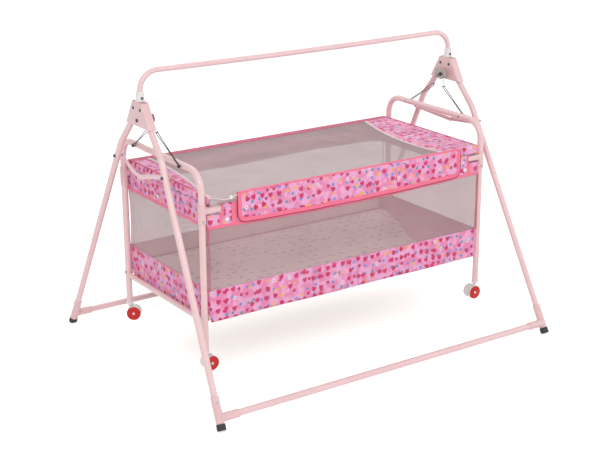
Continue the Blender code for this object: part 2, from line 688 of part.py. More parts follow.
def make_stay(side_name, end_name):
    """Half of a folding stay: a strip from the leg's bolt to the knuckle in the middle."""
    side, end = SIDES[side_name], ENDS[end_name]
    leg = Vector((end * leg_y(STAY_BOLT_Z), STAY_BOLT_Z))
    knuckle = Vector((KNUCKLE_Y[side_name], STAY_BOLT_Z - KNUCKLE_DROP[side_name]))
    run = knuckle - leg
    normal = Vector((-run.y, run.x)).normalized()
    if normal.y > 0:
        normal = -normal
    bow = STAY_BOW.get((side_name, end_name), 0.0)
    shares = np.linspace(0, 1, STAY_STEPS)
    middle = [leg + run * s + normal * bow * math.sin(math.pi * s) for s in shares]
    outer_x = leg_x(STAY_BOLT_Z) - TUBE_RADIUS - STAY_LEG_GAP
    if end_name == "back":
        outer_x -= STAY_THICKNESS + STAY_LAP_GAP
    x = side * (outer_x - STAY_THICKNESS / 2)
    upper, lower = [], []
    for i, spot in enumerate(middle):
        ahead = middle[min(i + 1, len(middle) - 1)] - middle[max(i - 1, 0)]
        aside = Vector((-ahead.y, ahead.x)).normalized() * STAY_HALF_HEIGHT
        upper.append(spot + aside)
        lower.append(spot - aside)
    outline = [tuple(p) for p in upper + lower[::-1]]
    name = f"stay_{end_name}_{side_name}"
    stay = plate(name, outline, [], STAY_THICKNESS, facing_x(x), PINK_PAINT)
    thick = STAY_THICKNESS / 2
    eye = rod(
        "eye_tool", (x - thick, *knuckle), (x + thick, *knuckle), KNUCKLE_RADIUS, PINK_PAINT, TUBE_SIDES,
    )
    boss = rod("eye_tool", (x - thick, *leg), (x + thick, *leg), KNUCKLE_RADIUS, PINK_PAINT, TUBE_SIDES)
    away = side if end_name == "front" else -side
    rivet = rod(
        "rivet_tool", (x, *knuckle), (x + away * (thick + RIVET_HEAD_HEIGHT), *knuckle),
        KNUCKLE_RIVET_RADIUS, PINK_PAINT, end_radius=RIVET_RADIUS,
    )
    leg_centre = side * leg_x(STAY_BOLT_Z)
    far = leg_centre + side * (TUBE_RADIUS + SEAT_GAP + BOLT_HEAD_HEIGHT)
    shank = rod("bolt_tool", (x, *leg), (far - side * BOLT_HEAD_HEIGHT / 2, *leg), BOLT_RADIUS, PINK_PAINT)
    head = rod(
        "bolt_tool", (far - side * BOLT_HEAD_HEIGHT, *leg), (far, *leg), BOLT_HEAD_RADIUS, PINK_PAINT, 6,
    )
    return join(stay, eye, boss, rivet, shank, head)


# Cradle frame: hoops, corner brackets and rails
HOOP_RAIL_DROP = 0.009
HOOP_RAIL_RADIUS = 0.008
HOOP_BOLT_HEAD_HEIGHT = 0.003
BRACKET_WALL = 0.0018
BRACKET_RADIUS = TUBE_RADIUS + SEAT_GAP + BRACKET_WALL
BRACKET_FOOT_DROP = 0.038
BRACKET_HEAD_RISE = 0.0195
BRACKET_ARM = 0.0565
BRACKET_BOLT_DROP = 0.029
RAIL_END_GAP = 0.001
STEM_RADIUS = 0.004
STEM_LENGTH = 0.026
STEM_BORE_DEPTH = 0.030

HOOP_RAIL_Z = FLOOR_RAIL_Z - HOOP_RAIL_DROP


def make_hoop(side_name):
    """An upturned U of tube with a welded rail near its feet, and the two link bolts in its top."""
    side = SIDES[side_name]
    x = side * HOOP_X
    corners = (
        (x, -HOOP_Y, HOOP_FOOT_Z),
        (x, -HOOP_Y, HOOP_TOP_Z),
        (x, HOOP_Y, HOOP_TOP_Z),
        (x, HOOP_Y, HOOP_FOOT_Z),
    )
    path = rounded_path(corners, (HOOP_BEND, HOOP_BEND))
    hoop = swept(f"hoop_{side_name}", path, TUBE_RADIUS, PINK_PAINT)
    reach = HOOP_Y - TUBE_RADIUS / 2
    ends = [(x, -reach, HOOP_RAIL_Z), (x, reach, HOOP_RAIL_Z)]
    rail = rod("rail_tool", *ends, HOOP_RAIL_RADIUS, PINK_PAINT, TUBE_SIDES)
    join(hoop, rail)
    inner = side * (HOOP_X - TUBE_RADIUS - HOOP_BOLT_HEAD_HEIGHT)
    outer = side * (HOOP_X + TUBE_RADIUS + LINK_BOLT_STEM)
    for end in ENDS.values():
        y = end * LINK_BOLT_Y
        shank = rod(
            "bolt_tool",
            (inner + side * HOOP_BOLT_HEAD_HEIGHT / 2, y, HOOP_TOP_Z),
            (outer + side * LINK_BOLT_NUT_HEIGHT / 2, y, HOOP_TOP_Z),
            LINK_BOLT_RADIUS, PINK_PAINT,
        )
        head = rod(
            "bolt_tool", (inner, y, HOOP_TOP_Z), (side * HOOP_X, y, HOOP_TOP_Z),
            LINK_BOLT_NUT_RADIUS, PINK_PAINT, 6,
        )
        nut = rod(
            "bolt_tool", (outer, y, HOOP_TOP_Z), (outer + side * LINK_BOLT_NUT_HEIGHT, y, HOOP_TOP_Z),
            LINK_BOLT_NUT_RADIUS, PINK_PAINT, 6,
        )
        join(hoop, shank, head, nut)
        floor_hole = cross_pin(
            x, end * HOOP_Y, FLOOR_RAIL_Z, TUBE_RADIUS + OVERRUN, BOLT_RADIUS + SEAT_GAP, PINK_PAINT,
        )
        bolt_z = TOP_RAIL_Z - BRACKET_BOLT_DROP
        across = TUBE_RADIUS + OVERRUN
        bracket_hole = rod(
            "pin_tool", (x, end * HOOP_Y - across, bolt_z), (x, end * HOOP_Y + across, bolt_z),
            BOLT_RADIUS + SEAT_GAP, PINK_PAINT,
        )
        stem_bore = rod(
            "pin_tool",
            (x, end * HOOP_Y, HOOP_FOOT_Z - OVERRUN),
            (x, end * HOOP_Y, HOOP_FOOT_Z + STEM_BORE_DEPTH),
            STEM_RADIUS + RUNNING_GAP, PINK_PAINT,
        )
        cut(hoop, floor_hole, bracket_hole, stem_bore)
    return hoop


def make_rail_bracket(side_name, end_name):
    """A corner clamp: a sleeve round the hoop with an arm that takes the top rail."""
    side, end = SIDES[side_name], ENDS[end_name]
    x, y = side * HOOP_X, end * HOOP_Y
    mouth = side * (HOOP_X - BRACKET_ARM)
    foot, head = TOP_RAIL_Z - BRACKET_FOOT_DROP, TOP_RAIL_Z + BRACKET_HEAD_RISE
    name = f"rail_bracket_{end_name}_{side_name}"
    bracket = rod(name, (x, y, foot), (x, y, head), BRACKET_RADIUS, PINK_PAINT, TUBE_SIDES)
    ends = [(mouth, y, TOP_RAIL_Z), (x, y, TOP_RAIL_Z)]
    arm = rod("arm_tool", *ends, BRACKET_RADIUS, PINK_PAINT, TUBE_SIDES)
    join(bracket, arm)
    bore = TUBE_RADIUS + SEAT_GAP
    ends = [(x, y, foot - OVERRUN), (x, y, head + OVERRUN)]
    upright = rod("bore_tool", *ends, bore, PINK_PAINT, TUBE_SIDES)
    ends = [(mouth - side * OVERRUN, y, TOP_RAIL_Z), (x, y, TOP_RAIL_Z)]
    level = rod("bore_tool", *ends, bore, PINK_PAINT, TUBE_SIDES)
    cut(bracket, upright, level)
    bolt_z = TOP_RAIL_Z - BRACKET_BOLT_DROP
    outside = y + end * BRACKET_RADIUS
    ends = [(x, y - end * BRACKET_RADIUS, bolt_z), (x, outside, bolt_z)]
    shank = rod("bolt_tool", *ends, BOLT_RADIUS, PINK_PAINT)
    inner_end = (x, outside - end * BRACKET_WALL, bolt_z)
    outer_end = (x, outside + end * RIVET_HEAD_HEIGHT, bolt_z)
    cap = rod(
        "bolt_tool", inner_end, outer_end, BOLT_HEAD_RADIUS, PINK_PAINT, end_radius=BOLT_RADIUS,
    )
    return join(bracket, shank, cap)


def make_top_rail(end_name):
    y, reach = ENDS[end_name] * HOOP_Y, HOOP_X - TUBE_RADIUS - RAIL_END_GAP
    ends = [(-reach, y, TOP_RAIL_Z), (reach, y, TOP_RAIL_Z)]
    return rod(f"top_rail_{end_name}", *ends, TUBE_RADIUS, PINK_PAINT, TUBE_SIDES)


def make_floor_rail(end_name):
    """A rail that carries the floor, bolted through the hoops at both of its ends."""
    y, reach = ENDS[end_name] * HOOP_Y, HOOP_X - TUBE_RADIUS - SEAT_GAP
    rail = rod(
        f"floor_rail_{end_name}", (-reach, y, FLOOR_RAIL_Z), (reach, y, FLOOR_RAIL_Z),
        FLOOR_RAIL_RADIUS, PINK_PAINT, TUBE_SIDES,
    )
    outside = HOOP_X + TUBE_RADIUS + SEAT_GAP
    for side in SIDES.values():
        shank = rod(
            "bolt_tool",
            (side * (reach - OVERRUN), y, FLOOR_RAIL_Z),
            (side * (outside + BOLT_HEAD_HEIGHT / 2), y, FLOOR_RAIL_Z),
            BOLT_RADIUS, PINK_PAINT,
        )
        head = rod(
            "bolt_tool",
            (side * outside, y, FLOOR_RAIL_Z),
            (side * (outside + BOLT_HEAD_HEIGHT), y, FLOOR_RAIL_Z),
            BOLT_HEAD_RADIUS, PINK_PAINT, 6,
        )
        join(rail, shank, head)
    return rail


# Basket: cloth bands, net walls, floor board and mattress
BASKET_END_GAP = 0.0035
BAND_WALL = 0.0016
NET_WALL = 0.0010
BASKET_CORNER = 0.006
BAND_RAIL_GAP = 0.0004
UPPER_BAND_DROP = 0.053
UPPER_BAND_RISE = 0.0145
BAND_HEM = 0.024
BAND_HEM_DROP = 0.0275
BAND_NOTCH_MARGIN = 0.0009
LOWER_BAND_DROP = 0.0105
LOWER_BAND_RISE = 0.0835
SEAM_GAP = 0.0007
END_NOTCH_DEPTH = 0.010
BOARD_THICKNESS = 0.005
BOARD_MARGIN = 0.0035
MATTRESS_MARGIN = 0.0055
MATTRESS_EDGE_RISE = 0.014
MATTRESS_CROWN = 0.008
MATTRESS_ROUND = 0.006
MATTRESS_COLUMNS = 14
MATTRESS_ROWS = 8

UPPER_BAND_FOOT_Z = TOP_RAIL_Z - UPPER_BAND_DROP
UPPER_BAND_TOP_Z = TOP_RAIL_Z + UPPER_BAND_RISE
LOWER_BAND_FOOT_Z = FLOOR_RAIL_Z - LOWER_BAND_DROP
LOWER_BAND_TOP_Z = FLOOR_RAIL_Z + LOWER_BAND_RISE
BASKET_X = HOOP_X - TUBE_RADIUS - BASKET_END_GAP
BASKET_Y = HOOP_Y + TUBE_RADIUS + BAND_RAIL_GAP + BAND_WALL
BOARD_FOOT_Z = FLOOR_RAIL_Z + FLOOR_RAIL_RADIUS + SEAT_GAP
BOARD_TOP_Z = BOARD_FOOT_Z + BOARD_THICKNESS


def rounded_rectangle(half_x, half_y, radius):
    outline = []
    for quarter, (sx, sy) in enumerate(((1, 1), (-1, 1), (-1, -1), (1, -1))):
        for step in range(4):
            angle = math.pi / 2 * (quarter + step / 3)
            outline.append((
                sx * (half_x - radius) + radius * math.cos(angle),
                sy * (half_y - radius) + radius * math.sin(angle),
            ))
    return outline


def ring(name, wall, low, high, finish, inset=0.0):
    """A band of cloth round the basket: a rounded rectangle of one wall thickness."""
    half_x, half_y = BASKET_X - inset, BASKET_Y - inset
    inner_corner = max(BASKET_CORNER - wall, BAND_WALL)
    outer = rounded_rectangle(half_x, half_y, BASKET_CORNER)
    inner = rounded_rectangle(half_x - wall, half_y - wall, inner_corner)
    place = Matrix.Translation((0, 0, (low + high) / 2))
    return plate(name, outer, [inner], high - low, place, finish)


def make_upper_band():
    """The printed band that wraps over the top rails, cut away where the corner brackets stand."""
    band = ring("upper_band", BAND_WALL, UPPER_BAND_FOOT_Z, UPPER_BAND_TOP_Z, PRINTED_CLOTH)
    hem = ring("hem_tool", BAND_HEM, UPPER_BAND_TOP_Z - BAND_WALL, UPPER_BAND_TOP_Z, PRINTED_CLOTH)
    turn_down = ring(
        "hem_tool", BAND_WALL, UPPER_BAND_TOP_Z - BAND_HEM_DROP, UPPER_BAND_TOP_Z, PRINTED_CLOTH,
        inset=BAND_HEM - BAND_WALL,
    )
    join(band, hem, turn_down)
    low_x = HOOP_X - BRACKET_ARM - BAND_NOTCH_MARGIN
    low_y = HOOP_Y - BRACKET_RADIUS - 2 * BAND_NOTCH_MARGIN
    low_z = TOP_RAIL_Z - BRACKET_RADIUS - BAND_NOTCH_MARGIN
    reach = BASKET_X + OVERRUN
    side_reach, top = BASKET_Y + OVERRUN, UPPER_BAND_TOP_Z + OVERRUN
    for sx in SIDES.values():
        for sy in ENDS.values():
            xs, ys = sorted((sx * low_x, sx * reach)), sorted((sy * low_y, sy * side_reach))
            notch = block("notch_tool", (xs[0], ys[0], low_z), (xs[1], ys[1], top), PRINTED_CLOTH)
            cut(band, notch)
    return band


def make_net_walls():
    low, high = LOWER_BAND_TOP_Z + SEAM_GAP, UPPER_BAND_FOOT_Z - SEAM_GAP
    return ring("net_walls", NET_WALL, low, high, NETTING)


def make_lower_band():
    """The printed band round the mattress, open at both ends where the floor rails leave it."""
    band = ring("lower_band", BAND_WALL, LOWER_BAND_FOOT_Z, LOWER_BAND_TOP_Z, PRINTED_CLOTH)
    top = FLOOR_RAIL_Z + FLOOR_RAIL_RADIUS + BAND_WALL
    for side in SIDES.values():
        xs = sorted((side * (BASKET_X - END_NOTCH_DEPTH), side * (BASKET_X + OVERRUN)))
        low = (xs[0], -BASKET_Y - OVERRUN, LOWER_BAND_FOOT_Z - OVERRUN)
        high = (xs[1], BASKET_Y + OVERRUN, top)
        cut(band, block("notch_tool", low, high, PRINTED_CLOTH))
    return band


def make_floor_board():
    half_x, half_y = BASKET_X - BAND_WALL - BOARD_MARGIN, BASKET_Y - BAND_WALL - BOARD_MARGIN
    low, high = (-half_x, -half_y, BOARD_FOOT_Z), (half_x, half_y, BOARD_TOP_Z)
    return block("floor_board", low, high, BOARD, BASKET_CORNER)


def make_mattress():
    """A thin cushion: low rounded edges and a crowned top."""
    half_x = BASKET_X - BAND_WALL - MATTRESS_MARGIN - MATTRESS_ROUND
    half_y = BASKET_Y - BAND_WALL - MATTRESS_MARGIN - MATTRESS_ROUND
    base = BOARD_TOP_Z + SEAT_GAP
    build = bmesh.new()
    us, vs = np.linspace(-1, 1, MATTRESS_COLUMNS + 1), np.linspace(-1, 1, MATTRESS_ROWS + 1)
    grid = []
    for v in vs:
        rises = MATTRESS_EDGE_RISE + MATTRESS_CROWN * (1 - us ** 4) * (1 - v ** 4)
        grid.append([build.verts.new((u * half_x, v * half_y, base + rise)) for u, rise in zip(us, rises)])
    for low, high in zip(grid, grid[1:]):
        for a, b, c, d in zip(low, low[1:], high[1:], high):
            build.faces.new((a, b, c, d))
    places = [(u, -1) for u in us] + [(1, v) for v in vs[1:]]
    places += [(u, 1) for u in us[-2::-1]] + [(-1, v) for v in vs[-2:0:-1]]
    above = grid[0] + [row[-1] for row in grid[1:]] + grid[-1][-2::-1] + [row[0] for row in grid[-2:0:-1]]
    for spread, height in ((0.7, 0.85), (1.0, 0.5), (0.7, 0.15), (0.0, 0.0)):
        out = spread * MATTRESS_ROUND
        below = []
        for u, v in places:
            x = u * half_x + out * (u == 1) - out * (u == -1)
            y = v * half_y + out * (v == 1) - out * (v == -1)
            below.append(build.verts.new((x, y, base + MATTRESS_EDGE_RISE * height)))
        for i, vert in enumerate(above):
            build.faces.new((above[i - 1], below[i - 1], below[i], vert))
        above = below
    build.faces.new(above[::-1])
    mesh = bpy.data.meshes.new("mattress")
    build.to_mesh(mesh)
    build.free()
    return shade(add_mesh("mattress", mesh, MATTRESS_CLOTH), math.radians(60))


# Net cover and its front flap
COVER_HEIGHT = 0.0252
COVER_END_GAP = 0.0065
COVER_WALL = 0.0012
COVER_SAG = 0.008
COVER_CORNER_DROP = 0.007
COVER_FOLD = 0.0012
COVER_COLUMNS = 18
COVER_ROWS = 9
FLAP_LEFT_MARGIN = 0.063
FLAP_RIGHT_MARGIN = 0.033
FLAP_OVERLAP = 0.003
FLAP_CORNER = 0.016
FLAP_WALL = 0.0014
FLAP_WAVE = 0.0008
FLAP_COLUMNS = 14
FLAP_ROWS = 3
FLAP_HEAD_DROP = 0.0012

COVER_X = HOOP_X - TUBE_RADIUS - COVER_END_GAP
COVER_Y = BASKET_Y
COVER_FOOT_Z = UPPER_BAND_TOP_Z + SEAT_GAP
COVER_TOP_Z = COVER_FOOT_Z + COVER_HEIGHT
COVER_HINGE_Z = COVER_FOOT_Z
FLAP_LEFT_X = FLAP_LEFT_MARGIN - COVER_X
FLAP_RIGHT_X = COVER_X - FLAP_RIGHT_MARGIN
FLAP_FOOT_Z = UPPER_BAND_FOOT_Z - FLAP_OVERLAP


def cloth(name, rows, thickness, finish):
    """A sheet of cloth through rows of points, thickened to the side its faces turn away from."""
    build = bmesh.new()
    grid = [[build.verts.new(point) for point in row] for row in rows]
    for low, high in zip(grid, grid[1:]):
        for a, b, c, d in zip(low, low[1:], high[1:], high):
            build.faces.new((a, b, c, d))
    bmesh.ops.remove_doubles(build, verts=build.verts, dist=1e-6)
    mesh = bpy.data.meshes.new(name)
    build.to_mesh(mesh)
    build.free()
    sheet = shade(add_mesh(name, mesh, finish), math.radians(50))
    wall = sheet.modifiers.new("cloth", "SOLIDIFY")
    wall.thickness = thickness
    wall.offset = -1.0
    wall.use_even_offset = True
    return sheet


def make_net_cover():
    """A lid of netting with printed ends: slack in the middle, turned down along its edges."""
    rows = []
    for v in (-1.01, *np.linspace(-1, 1, COVER_ROWS + 1), 1.01):
        row = []
        for u in (-1.01, *np.linspace(-1, 1, COVER_COLUMNS + 1), 1.01):
            if abs(u) > 1 or abs(v) > 1:
                z = COVER_FOOT_Z
            else:
                slack = (1 - u ** 2) * (1 - v ** 2)
                fold = COVER_FOLD * math.sin(9 * u + 5 * v) * math.sin(7 * v - 4 * u)
                z = COVER_TOP_Z - COVER_SAG * slack + fold * slack
                z -= COVER_CORNER_DROP * abs(u) ** 10 * v ** 4
            row.append((COVER_X * min(max(u, -1), 1), COVER_Y * min(max(v, -1), 1), z))
        rows.append(row)
    return cloth("net_cover", rows, COVER_WALL, NETTING)


def make_cover_flap():
    """The printed flap along the cover's front edge, with rounded lower corners."""
    y = -COVER_Y - SEAT_GAP - FLAP_WALL
    xs = np.linspace(FLAP_LEFT_X, FLAP_RIGHT_X, FLAP_COLUMNS + 1)
    round_xs = FLAP_CORNER * (1 - np.cos(np.radians((30, 60))))
    xs = sorted([*xs, *(FLAP_LEFT_X + round_xs), *(FLAP_RIGHT_X - round_xs)])
    rows = []
    for share in np.linspace(0, 1, FLAP_ROWS + 1):
        row = []
        for x in xs:
            inset = max(FLAP_CORNER - min(x - FLAP_LEFT_X, FLAP_RIGHT_X - x), 0.0)
            foot = FLAP_FOOT_Z + FLAP_CORNER - math.sqrt(FLAP_CORNER ** 2 - inset ** 2)
            head = COVER_TOP_Z - FLAP_HEAD_DROP
            wave = FLAP_WAVE * (1 + math.sin(40 * x)) * (1 - share)
            row.append((x, y - wave, foot + (head - foot) * share))
        rows.append(row)
    return cloth("cover_flap", rows, FLAP_WALL, PRINTED_CLOTH)


# Castors
WHEEL_RADIUS = 0.022
WHEEL_DROP = 0.036
WHEEL_TRAIL = 0.012
WHEEL_HALF_WIDTH = 0.0165
WHEEL_INNER = 0.0048
WHEEL_RIM = 0.0015
HUB_RADIUS = 0.0055
HUB_RISE = 0.0012
AXLE_RADIUS = 0.003
WEB_HALF = 0.004
HOOD_RADIUS = 0.015
COLLAR_RADIUS = 0.011
COLLAR_HEIGHT = 0.008
NECK_RADIUS = 0.009
NECK_HEIGHT = 0.005
NECK_FOOT_RADIUS = 0.006
WHEEL_Z = HOOP_FOOT_Z - WHEEL_DROP
COLLAR_FOOT_Z = HOOP_FOOT_Z - COLLAR_HEIGHT
NECK_FOOT_Z = COLLAR_FOOT_Z - NECK_HEIGHT
CASTOR_TURNS = {
    ("left", "front"): 0.0,
    ("left", "back"): -34.0,
    ("right", "front"): 180.0,
    ("right", "back"): 0.0,
}


def castor_frame(side_name, end_name):
    """The castor's own frame: trail along its X, axle along its Y, origin under the stem."""
    place = Matrix.Translation((SIDES[side_name] * HOOP_X, ENDS[end_name] * HOOP_Y, 0))
    return place @ Matrix.Rotation(math.radians(CASTOR_TURNS[side_name, end_name]), 4, "Z")


def make_castor_body(side_name, end_name):
    place = castor_frame(side_name, end_name)
    collar_top = HOOP_FOOT_Z - SEAT_GAP
    profile = (
        (0.0, collar_top + STEM_LENGTH),
        (STEM_RADIUS, collar_top + STEM_LENGTH),
        (STEM_RADIUS, collar_top),
        (COLLAR_RADIUS, collar_top),
        (COLLAR_RADIUS, COLLAR_FOOT_Z),
        (NECK_RADIUS, COLLAR_FOOT_Z),
        (NECK_FOOT_RADIUS, NECK_FOOT_Z),
        (0.0, NECK_FOOT_Z),
    )
    body = turned(f"castor_body_{end_name}_{side_name}", profile, place, WHITE_PLASTIC)
    web = block(
        "web_tool",
        (-WEB_HALF, -WEB_HALF, WHEEL_Z),
        (WHEEL_TRAIL + WEB_HALF, WEB_HALF, (COLLAR_FOOT_Z + NECK_FOOT_Z) / 2),
        WHITE_PLASTIC,
    )
    web.matrix_world = place
    middle = Vector((WHEEL_TRAIL, 0, WHEEL_Z))
    across = Vector((0, WEB_HALF, 0))
    sides_of_hood = [place @ (middle - across), place @ (middle + across)]
    hood = rod("hood_tool", *sides_of_hood, HOOD_RADIUS, WHITE_PLASTIC, TUBE_SIDES)
    bore = rod(
        "bore_tool", place @ (middle - 2 * across), place @ (middle + 2 * across),
        AXLE_RADIUS + RUNNING_GAP, WHITE_PLASTIC,
    )
    return cut(join(body, web, hood), bore)


def make_castor_wheels(side_name, end_name):
    """Twin wheels on one axle, turned as a single piece."""
    half = (
        (0.0, WHEEL_HALF_WIDTH + HUB_RISE),
        (HUB_RADIUS, WHEEL_HALF_WIDTH + HUB_RISE),
        (HUB_RADIUS, WHEEL_HALF_WIDTH),
        (WHEEL_RADIUS - WHEEL_RIM, WHEEL_HALF_WIDTH),
        (WHEEL_RADIUS, WHEEL_HALF_WIDTH - WHEEL_RIM),
        (WHEEL_RADIUS, WHEEL_INNER),
        (AXLE_RADIUS, WHEEL_INNER),
    )
    profile = (*half, *[(radius, -height) for radius, height in half[::-1]])
    place = castor_frame(side_name, end_name) @ Matrix.Translation((WHEEL_TRAIL, 0, WHEEL_Z))
    place = place @ Matrix.Rotation(math.pi / 2, 4, "X")
    return turned(f"castor_wheels_{end_name}_{side_name}", profile, place, WHITE_PLASTIC, steps=TUBE_SIDES)


# Assembly
def make_stand():
    make_top_bar()
    for side_name in SIDES:
        make_bar_sleeve(side_name)
        make_head_bracket(side_name)
        make_pivot_bolt(side_name)
    for end_name, end in ENDS.items():
        frame = [make_base_bar(end_name)]
        stay_axes = []
        stay_place = (0, end * leg_y(STAY_BOLT_Z), STAY_BOLT_Z)
        for side_name in SIDES:
            frame.append(make_leg(side_name, end_name))
            frame.append(make_foot_socket(side_name, end_name))
            frame.append(make_foot_tip(side_name, end_name))
            stay = make_stay(side_name, end_name)
            stay_axes.append(joint_empty(f"{end_name}_stay_axis_{side_name}", stay_place, stay))
        leg_axis = joint_empty(f"{end_name}_leg_axis", (0, end * LEG_PIVOT_Y, LEG_PIVOT_Z), *frame)
        attach(leg_axis, *stay_axes)


def make_cradle():
    parts = [make_upper_band(), make_net_walls(), make_lower_band(), make_floor_board(), make_mattress()]
    castors = []
    for side_name in SIDES:
        parts += [make_hoop(side_name), make_hanger_plate(side_name)]
        for end_name in ENDS:
            parts.append(make_hook(side_name, end_name))
            parts.append(make_link(side_name, end_name))
            parts.append(make_rail_bracket(side_name, end_name))
            castors.append(make_castor(side_name, end_name))
    for end_name in ENDS:
        parts += [make_top_rail(end_name), make_floor_rail(end_name)]
    cover = joint_empty(
        "cover_axis", (0, COVER_Y, COVER_HINGE_Z), make_net_cover(), make_cover_flap(),
    )
    joint_empty("swing_axis", (0, 0, PIVOT_Z), *parts, cover, *castors)


def make_castor(side_name, end_name):
    body = make_castor_body(side_name, end_name)
    wheels = make_castor_wheels(side_name, end_name)
    place = castor_frame(side_name, end_name)
    axle_place = place @ Vector((WHEEL_TRAIL, 0, WHEEL_Z))
    axle = joint_empty(f"castor_axle_{end_name}_{side_name}", axle_place, wheels)
    stem_place = place @ Vector((0, 0, COLLAR_FOOT_Z))
    return joint_empty(f"castor_swivel_{end_name}_{side_name}", stem_place, body, axle)


make_stand()
make_cradle()
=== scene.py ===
"""A baby cradle that hangs from hooks in a folding tube stand, dressed for its portrait.

Everything is in metres in the cradle's own frame: +X runs along the bed to its
right-hand end, +Y to the back, where the net cover is hinged, and +Z is up.
"""
import math

import bmesh
import bpy
import numpy as np
from mathutils import Euler, Matrix, Vector


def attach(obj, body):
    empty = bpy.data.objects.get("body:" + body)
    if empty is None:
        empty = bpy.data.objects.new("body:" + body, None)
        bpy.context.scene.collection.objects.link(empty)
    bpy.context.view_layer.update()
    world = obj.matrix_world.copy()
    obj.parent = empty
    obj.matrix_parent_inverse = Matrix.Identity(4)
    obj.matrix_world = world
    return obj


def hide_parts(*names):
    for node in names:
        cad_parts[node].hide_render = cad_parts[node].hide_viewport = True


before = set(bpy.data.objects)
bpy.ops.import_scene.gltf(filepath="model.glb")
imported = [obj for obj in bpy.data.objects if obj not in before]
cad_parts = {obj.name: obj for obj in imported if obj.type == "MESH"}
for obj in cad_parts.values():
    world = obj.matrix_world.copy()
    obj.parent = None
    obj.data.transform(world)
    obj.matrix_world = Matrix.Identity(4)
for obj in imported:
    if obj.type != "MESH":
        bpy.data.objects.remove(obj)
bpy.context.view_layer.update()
scene = bpy.context.scene


# Studio
# The camera stands before the left-hand end, above the top bar, with a long lens.
# The floor is a white sweep that keeps a soft shadow, under one large lamp and two fills.
CAMERA_LENS, CAMERA_PLACE = 80.146, (-2.2332, -3.2798, 1.6556)
CAMERA_DIP, CAMERA_TURN, CAMERA_ROLL = 18.263, 33.996, 0.243
LAMP_AIM = (0, 0, 0.4)
LAMPS = (
    ("key_lamp", (-2.6, -3.4, 3.6), 95, 2.6),
    ("fill_lamp", (3.6, -3.0, 2.2), 38, 3.0),
    ("top_lamp", (0.4, 1.8, 3.8), 34, 2.6),
)
WORLD_LIGHT, WORLD_BACKDROP = 0.50, 0.50
FLOOR_BACKDROP, FLOOR_REACH = 0.54, 14.0

camera_data = bpy.data.cameras.new("portrait_camera")
camera_data.lens = CAMERA_LENS
camera_data.sensor_width = 36.0
camera = bpy.data.objects.new("portrait_camera", camera_data)
camera.location = CAMERA_PLACE
camera.rotation_euler = (
    Euler((math.radians(90 - CAMERA_DIP), 0, -math.radians(CAMERA_TURN))).to_matrix()
    @ Matrix.Rotation(-math.radians(CAMERA_ROLL), 3, "Z")
).to_euler()
scene.collection.objects.link(camera)
scene.camera = camera
scene.view_settings.view_transform = "Standard"

for name, place, power, size in LAMPS:
    data = bpy.data.lights.new(name, "AREA")
    data.energy = power
    data.shape = "DISK"
    data.size = size
    light = bpy.data.objects.new(name, data)
    light.location = place
    light.rotation_euler = (Vector(LAMP_AIM) - Vector(place)).to_track_quat("-Z", "Y").to_euler()
    scene.collection.objects.link(light)


def plug(tree, target, value):
    """Links a socket, or sets a plain value."""
    if isinstance(value, bpy.types.NodeSocket):
        tree.links.new(value, target)
    else:
        target.default_value = value


def maths(tree, operation, *values):
    """One arithmetic step on sockets or plain numbers."""
    node = tree.nodes.new("ShaderNodeMath")
    node.operation = operation
    for target, value in zip(node.inputs, values):
        plug(tree, target, value)
    return node.outputs[0]


def backdrop_share(tree, gain, base):
    """The gain where a camera, glossy or transmitted ray arrives, over a base for all other light."""
    seen = tree.nodes.new("ShaderNodeLightPath")
    total = seen.outputs["Is Camera Ray"]
    for kind in ("Is Glossy Ray", "Is Transmission Ray"):
        total = maths(tree, "MAXIMUM", total, seen.outputs[kind])
    return maths(tree, "MULTIPLY_ADD", total, gain, base)


def srgb(red, green, blue):
    """A screen colour of 0 to 255 as linear red, green, blue and alpha.

    Dark shares are divided by 12.92; others get 0.055 more, over 1.055, to the power 2.4.
    """
    shares = np.array((red, green, blue)) / 255
    linear = np.where(shares <= 0.04045, shares / 12.92, ((shares + 0.055) / 1.055) ** 2.4)
    return (*linear.tolist(), 1.0)


def new_finish(name, colour, roughness, **sockets):
    """A Principled material with its plain values on the shader's own sockets."""
    finish = bpy.data.materials.new(name)
    finish.use_nodes = True
    shader = finish.node_tree.nodes["Principled BSDF"]
    shader.inputs["Base Color"].default_value = colour
    shader.inputs["Roughness"].default_value = roughness
    for socket, value in sockets.items():
        shader.inputs[socket.replace("_", " ")].default_value = value
    return finish, finish.node_tree, shader


world = bpy.data.worlds.new("studio_white")
scene.world = world
world.use_nodes = True
background = world.node_tree.nodes["Background"]
white = backdrop_share(world.node_tree, WORLD_BACKDROP, WORLD_LIGHT)
plug(world.node_tree, background.inputs["Strength"], white)
background.inputs["Color"].default_value = (1, 1, 1, 1)

floor_paper, tree, shader = new_finish("floor_paper", srgb(250, 250, 250), 0.9)
plug(tree, shader.inputs["Emission Strength"], backdrop_share(tree, FLOOR_BACKDROP, 0.0))
shader.inputs["Emission Color"].default_value = (1, 1, 1, 1)
floor_mesh = bpy.data.meshes.new("floor_sweep")
floor_corners = [(x * FLOOR_REACH, y * FLOOR_REACH, 0) for x, y in ((-1, -1), (1, -1), (1, 1), (-1, 1))]
floor_mesh.from_pydata(floor_corners, [], [(0, 1, 2, 3)])
floor_mesh.materials.append(floor_paper)
floor = bpy.data.objects.new("floor_sweep", floor_mesh)
scene.collection.objects.link(floor)


# Frame tube
# Thin-walled round steel tube, cold bent and powder coated in a pale pink gloss.
# The same tube makes the legs, the base bars, the hoops and the top rails.
TUBE, THIN_TUBE, TUBE_SIDES = 0.0095, 0.008, 36


def joined(*parts):
    """One array for each coordinate, spread to a common shape and joined as points."""
    return np.stack(np.broadcast_arrays(*parts), axis=-1)


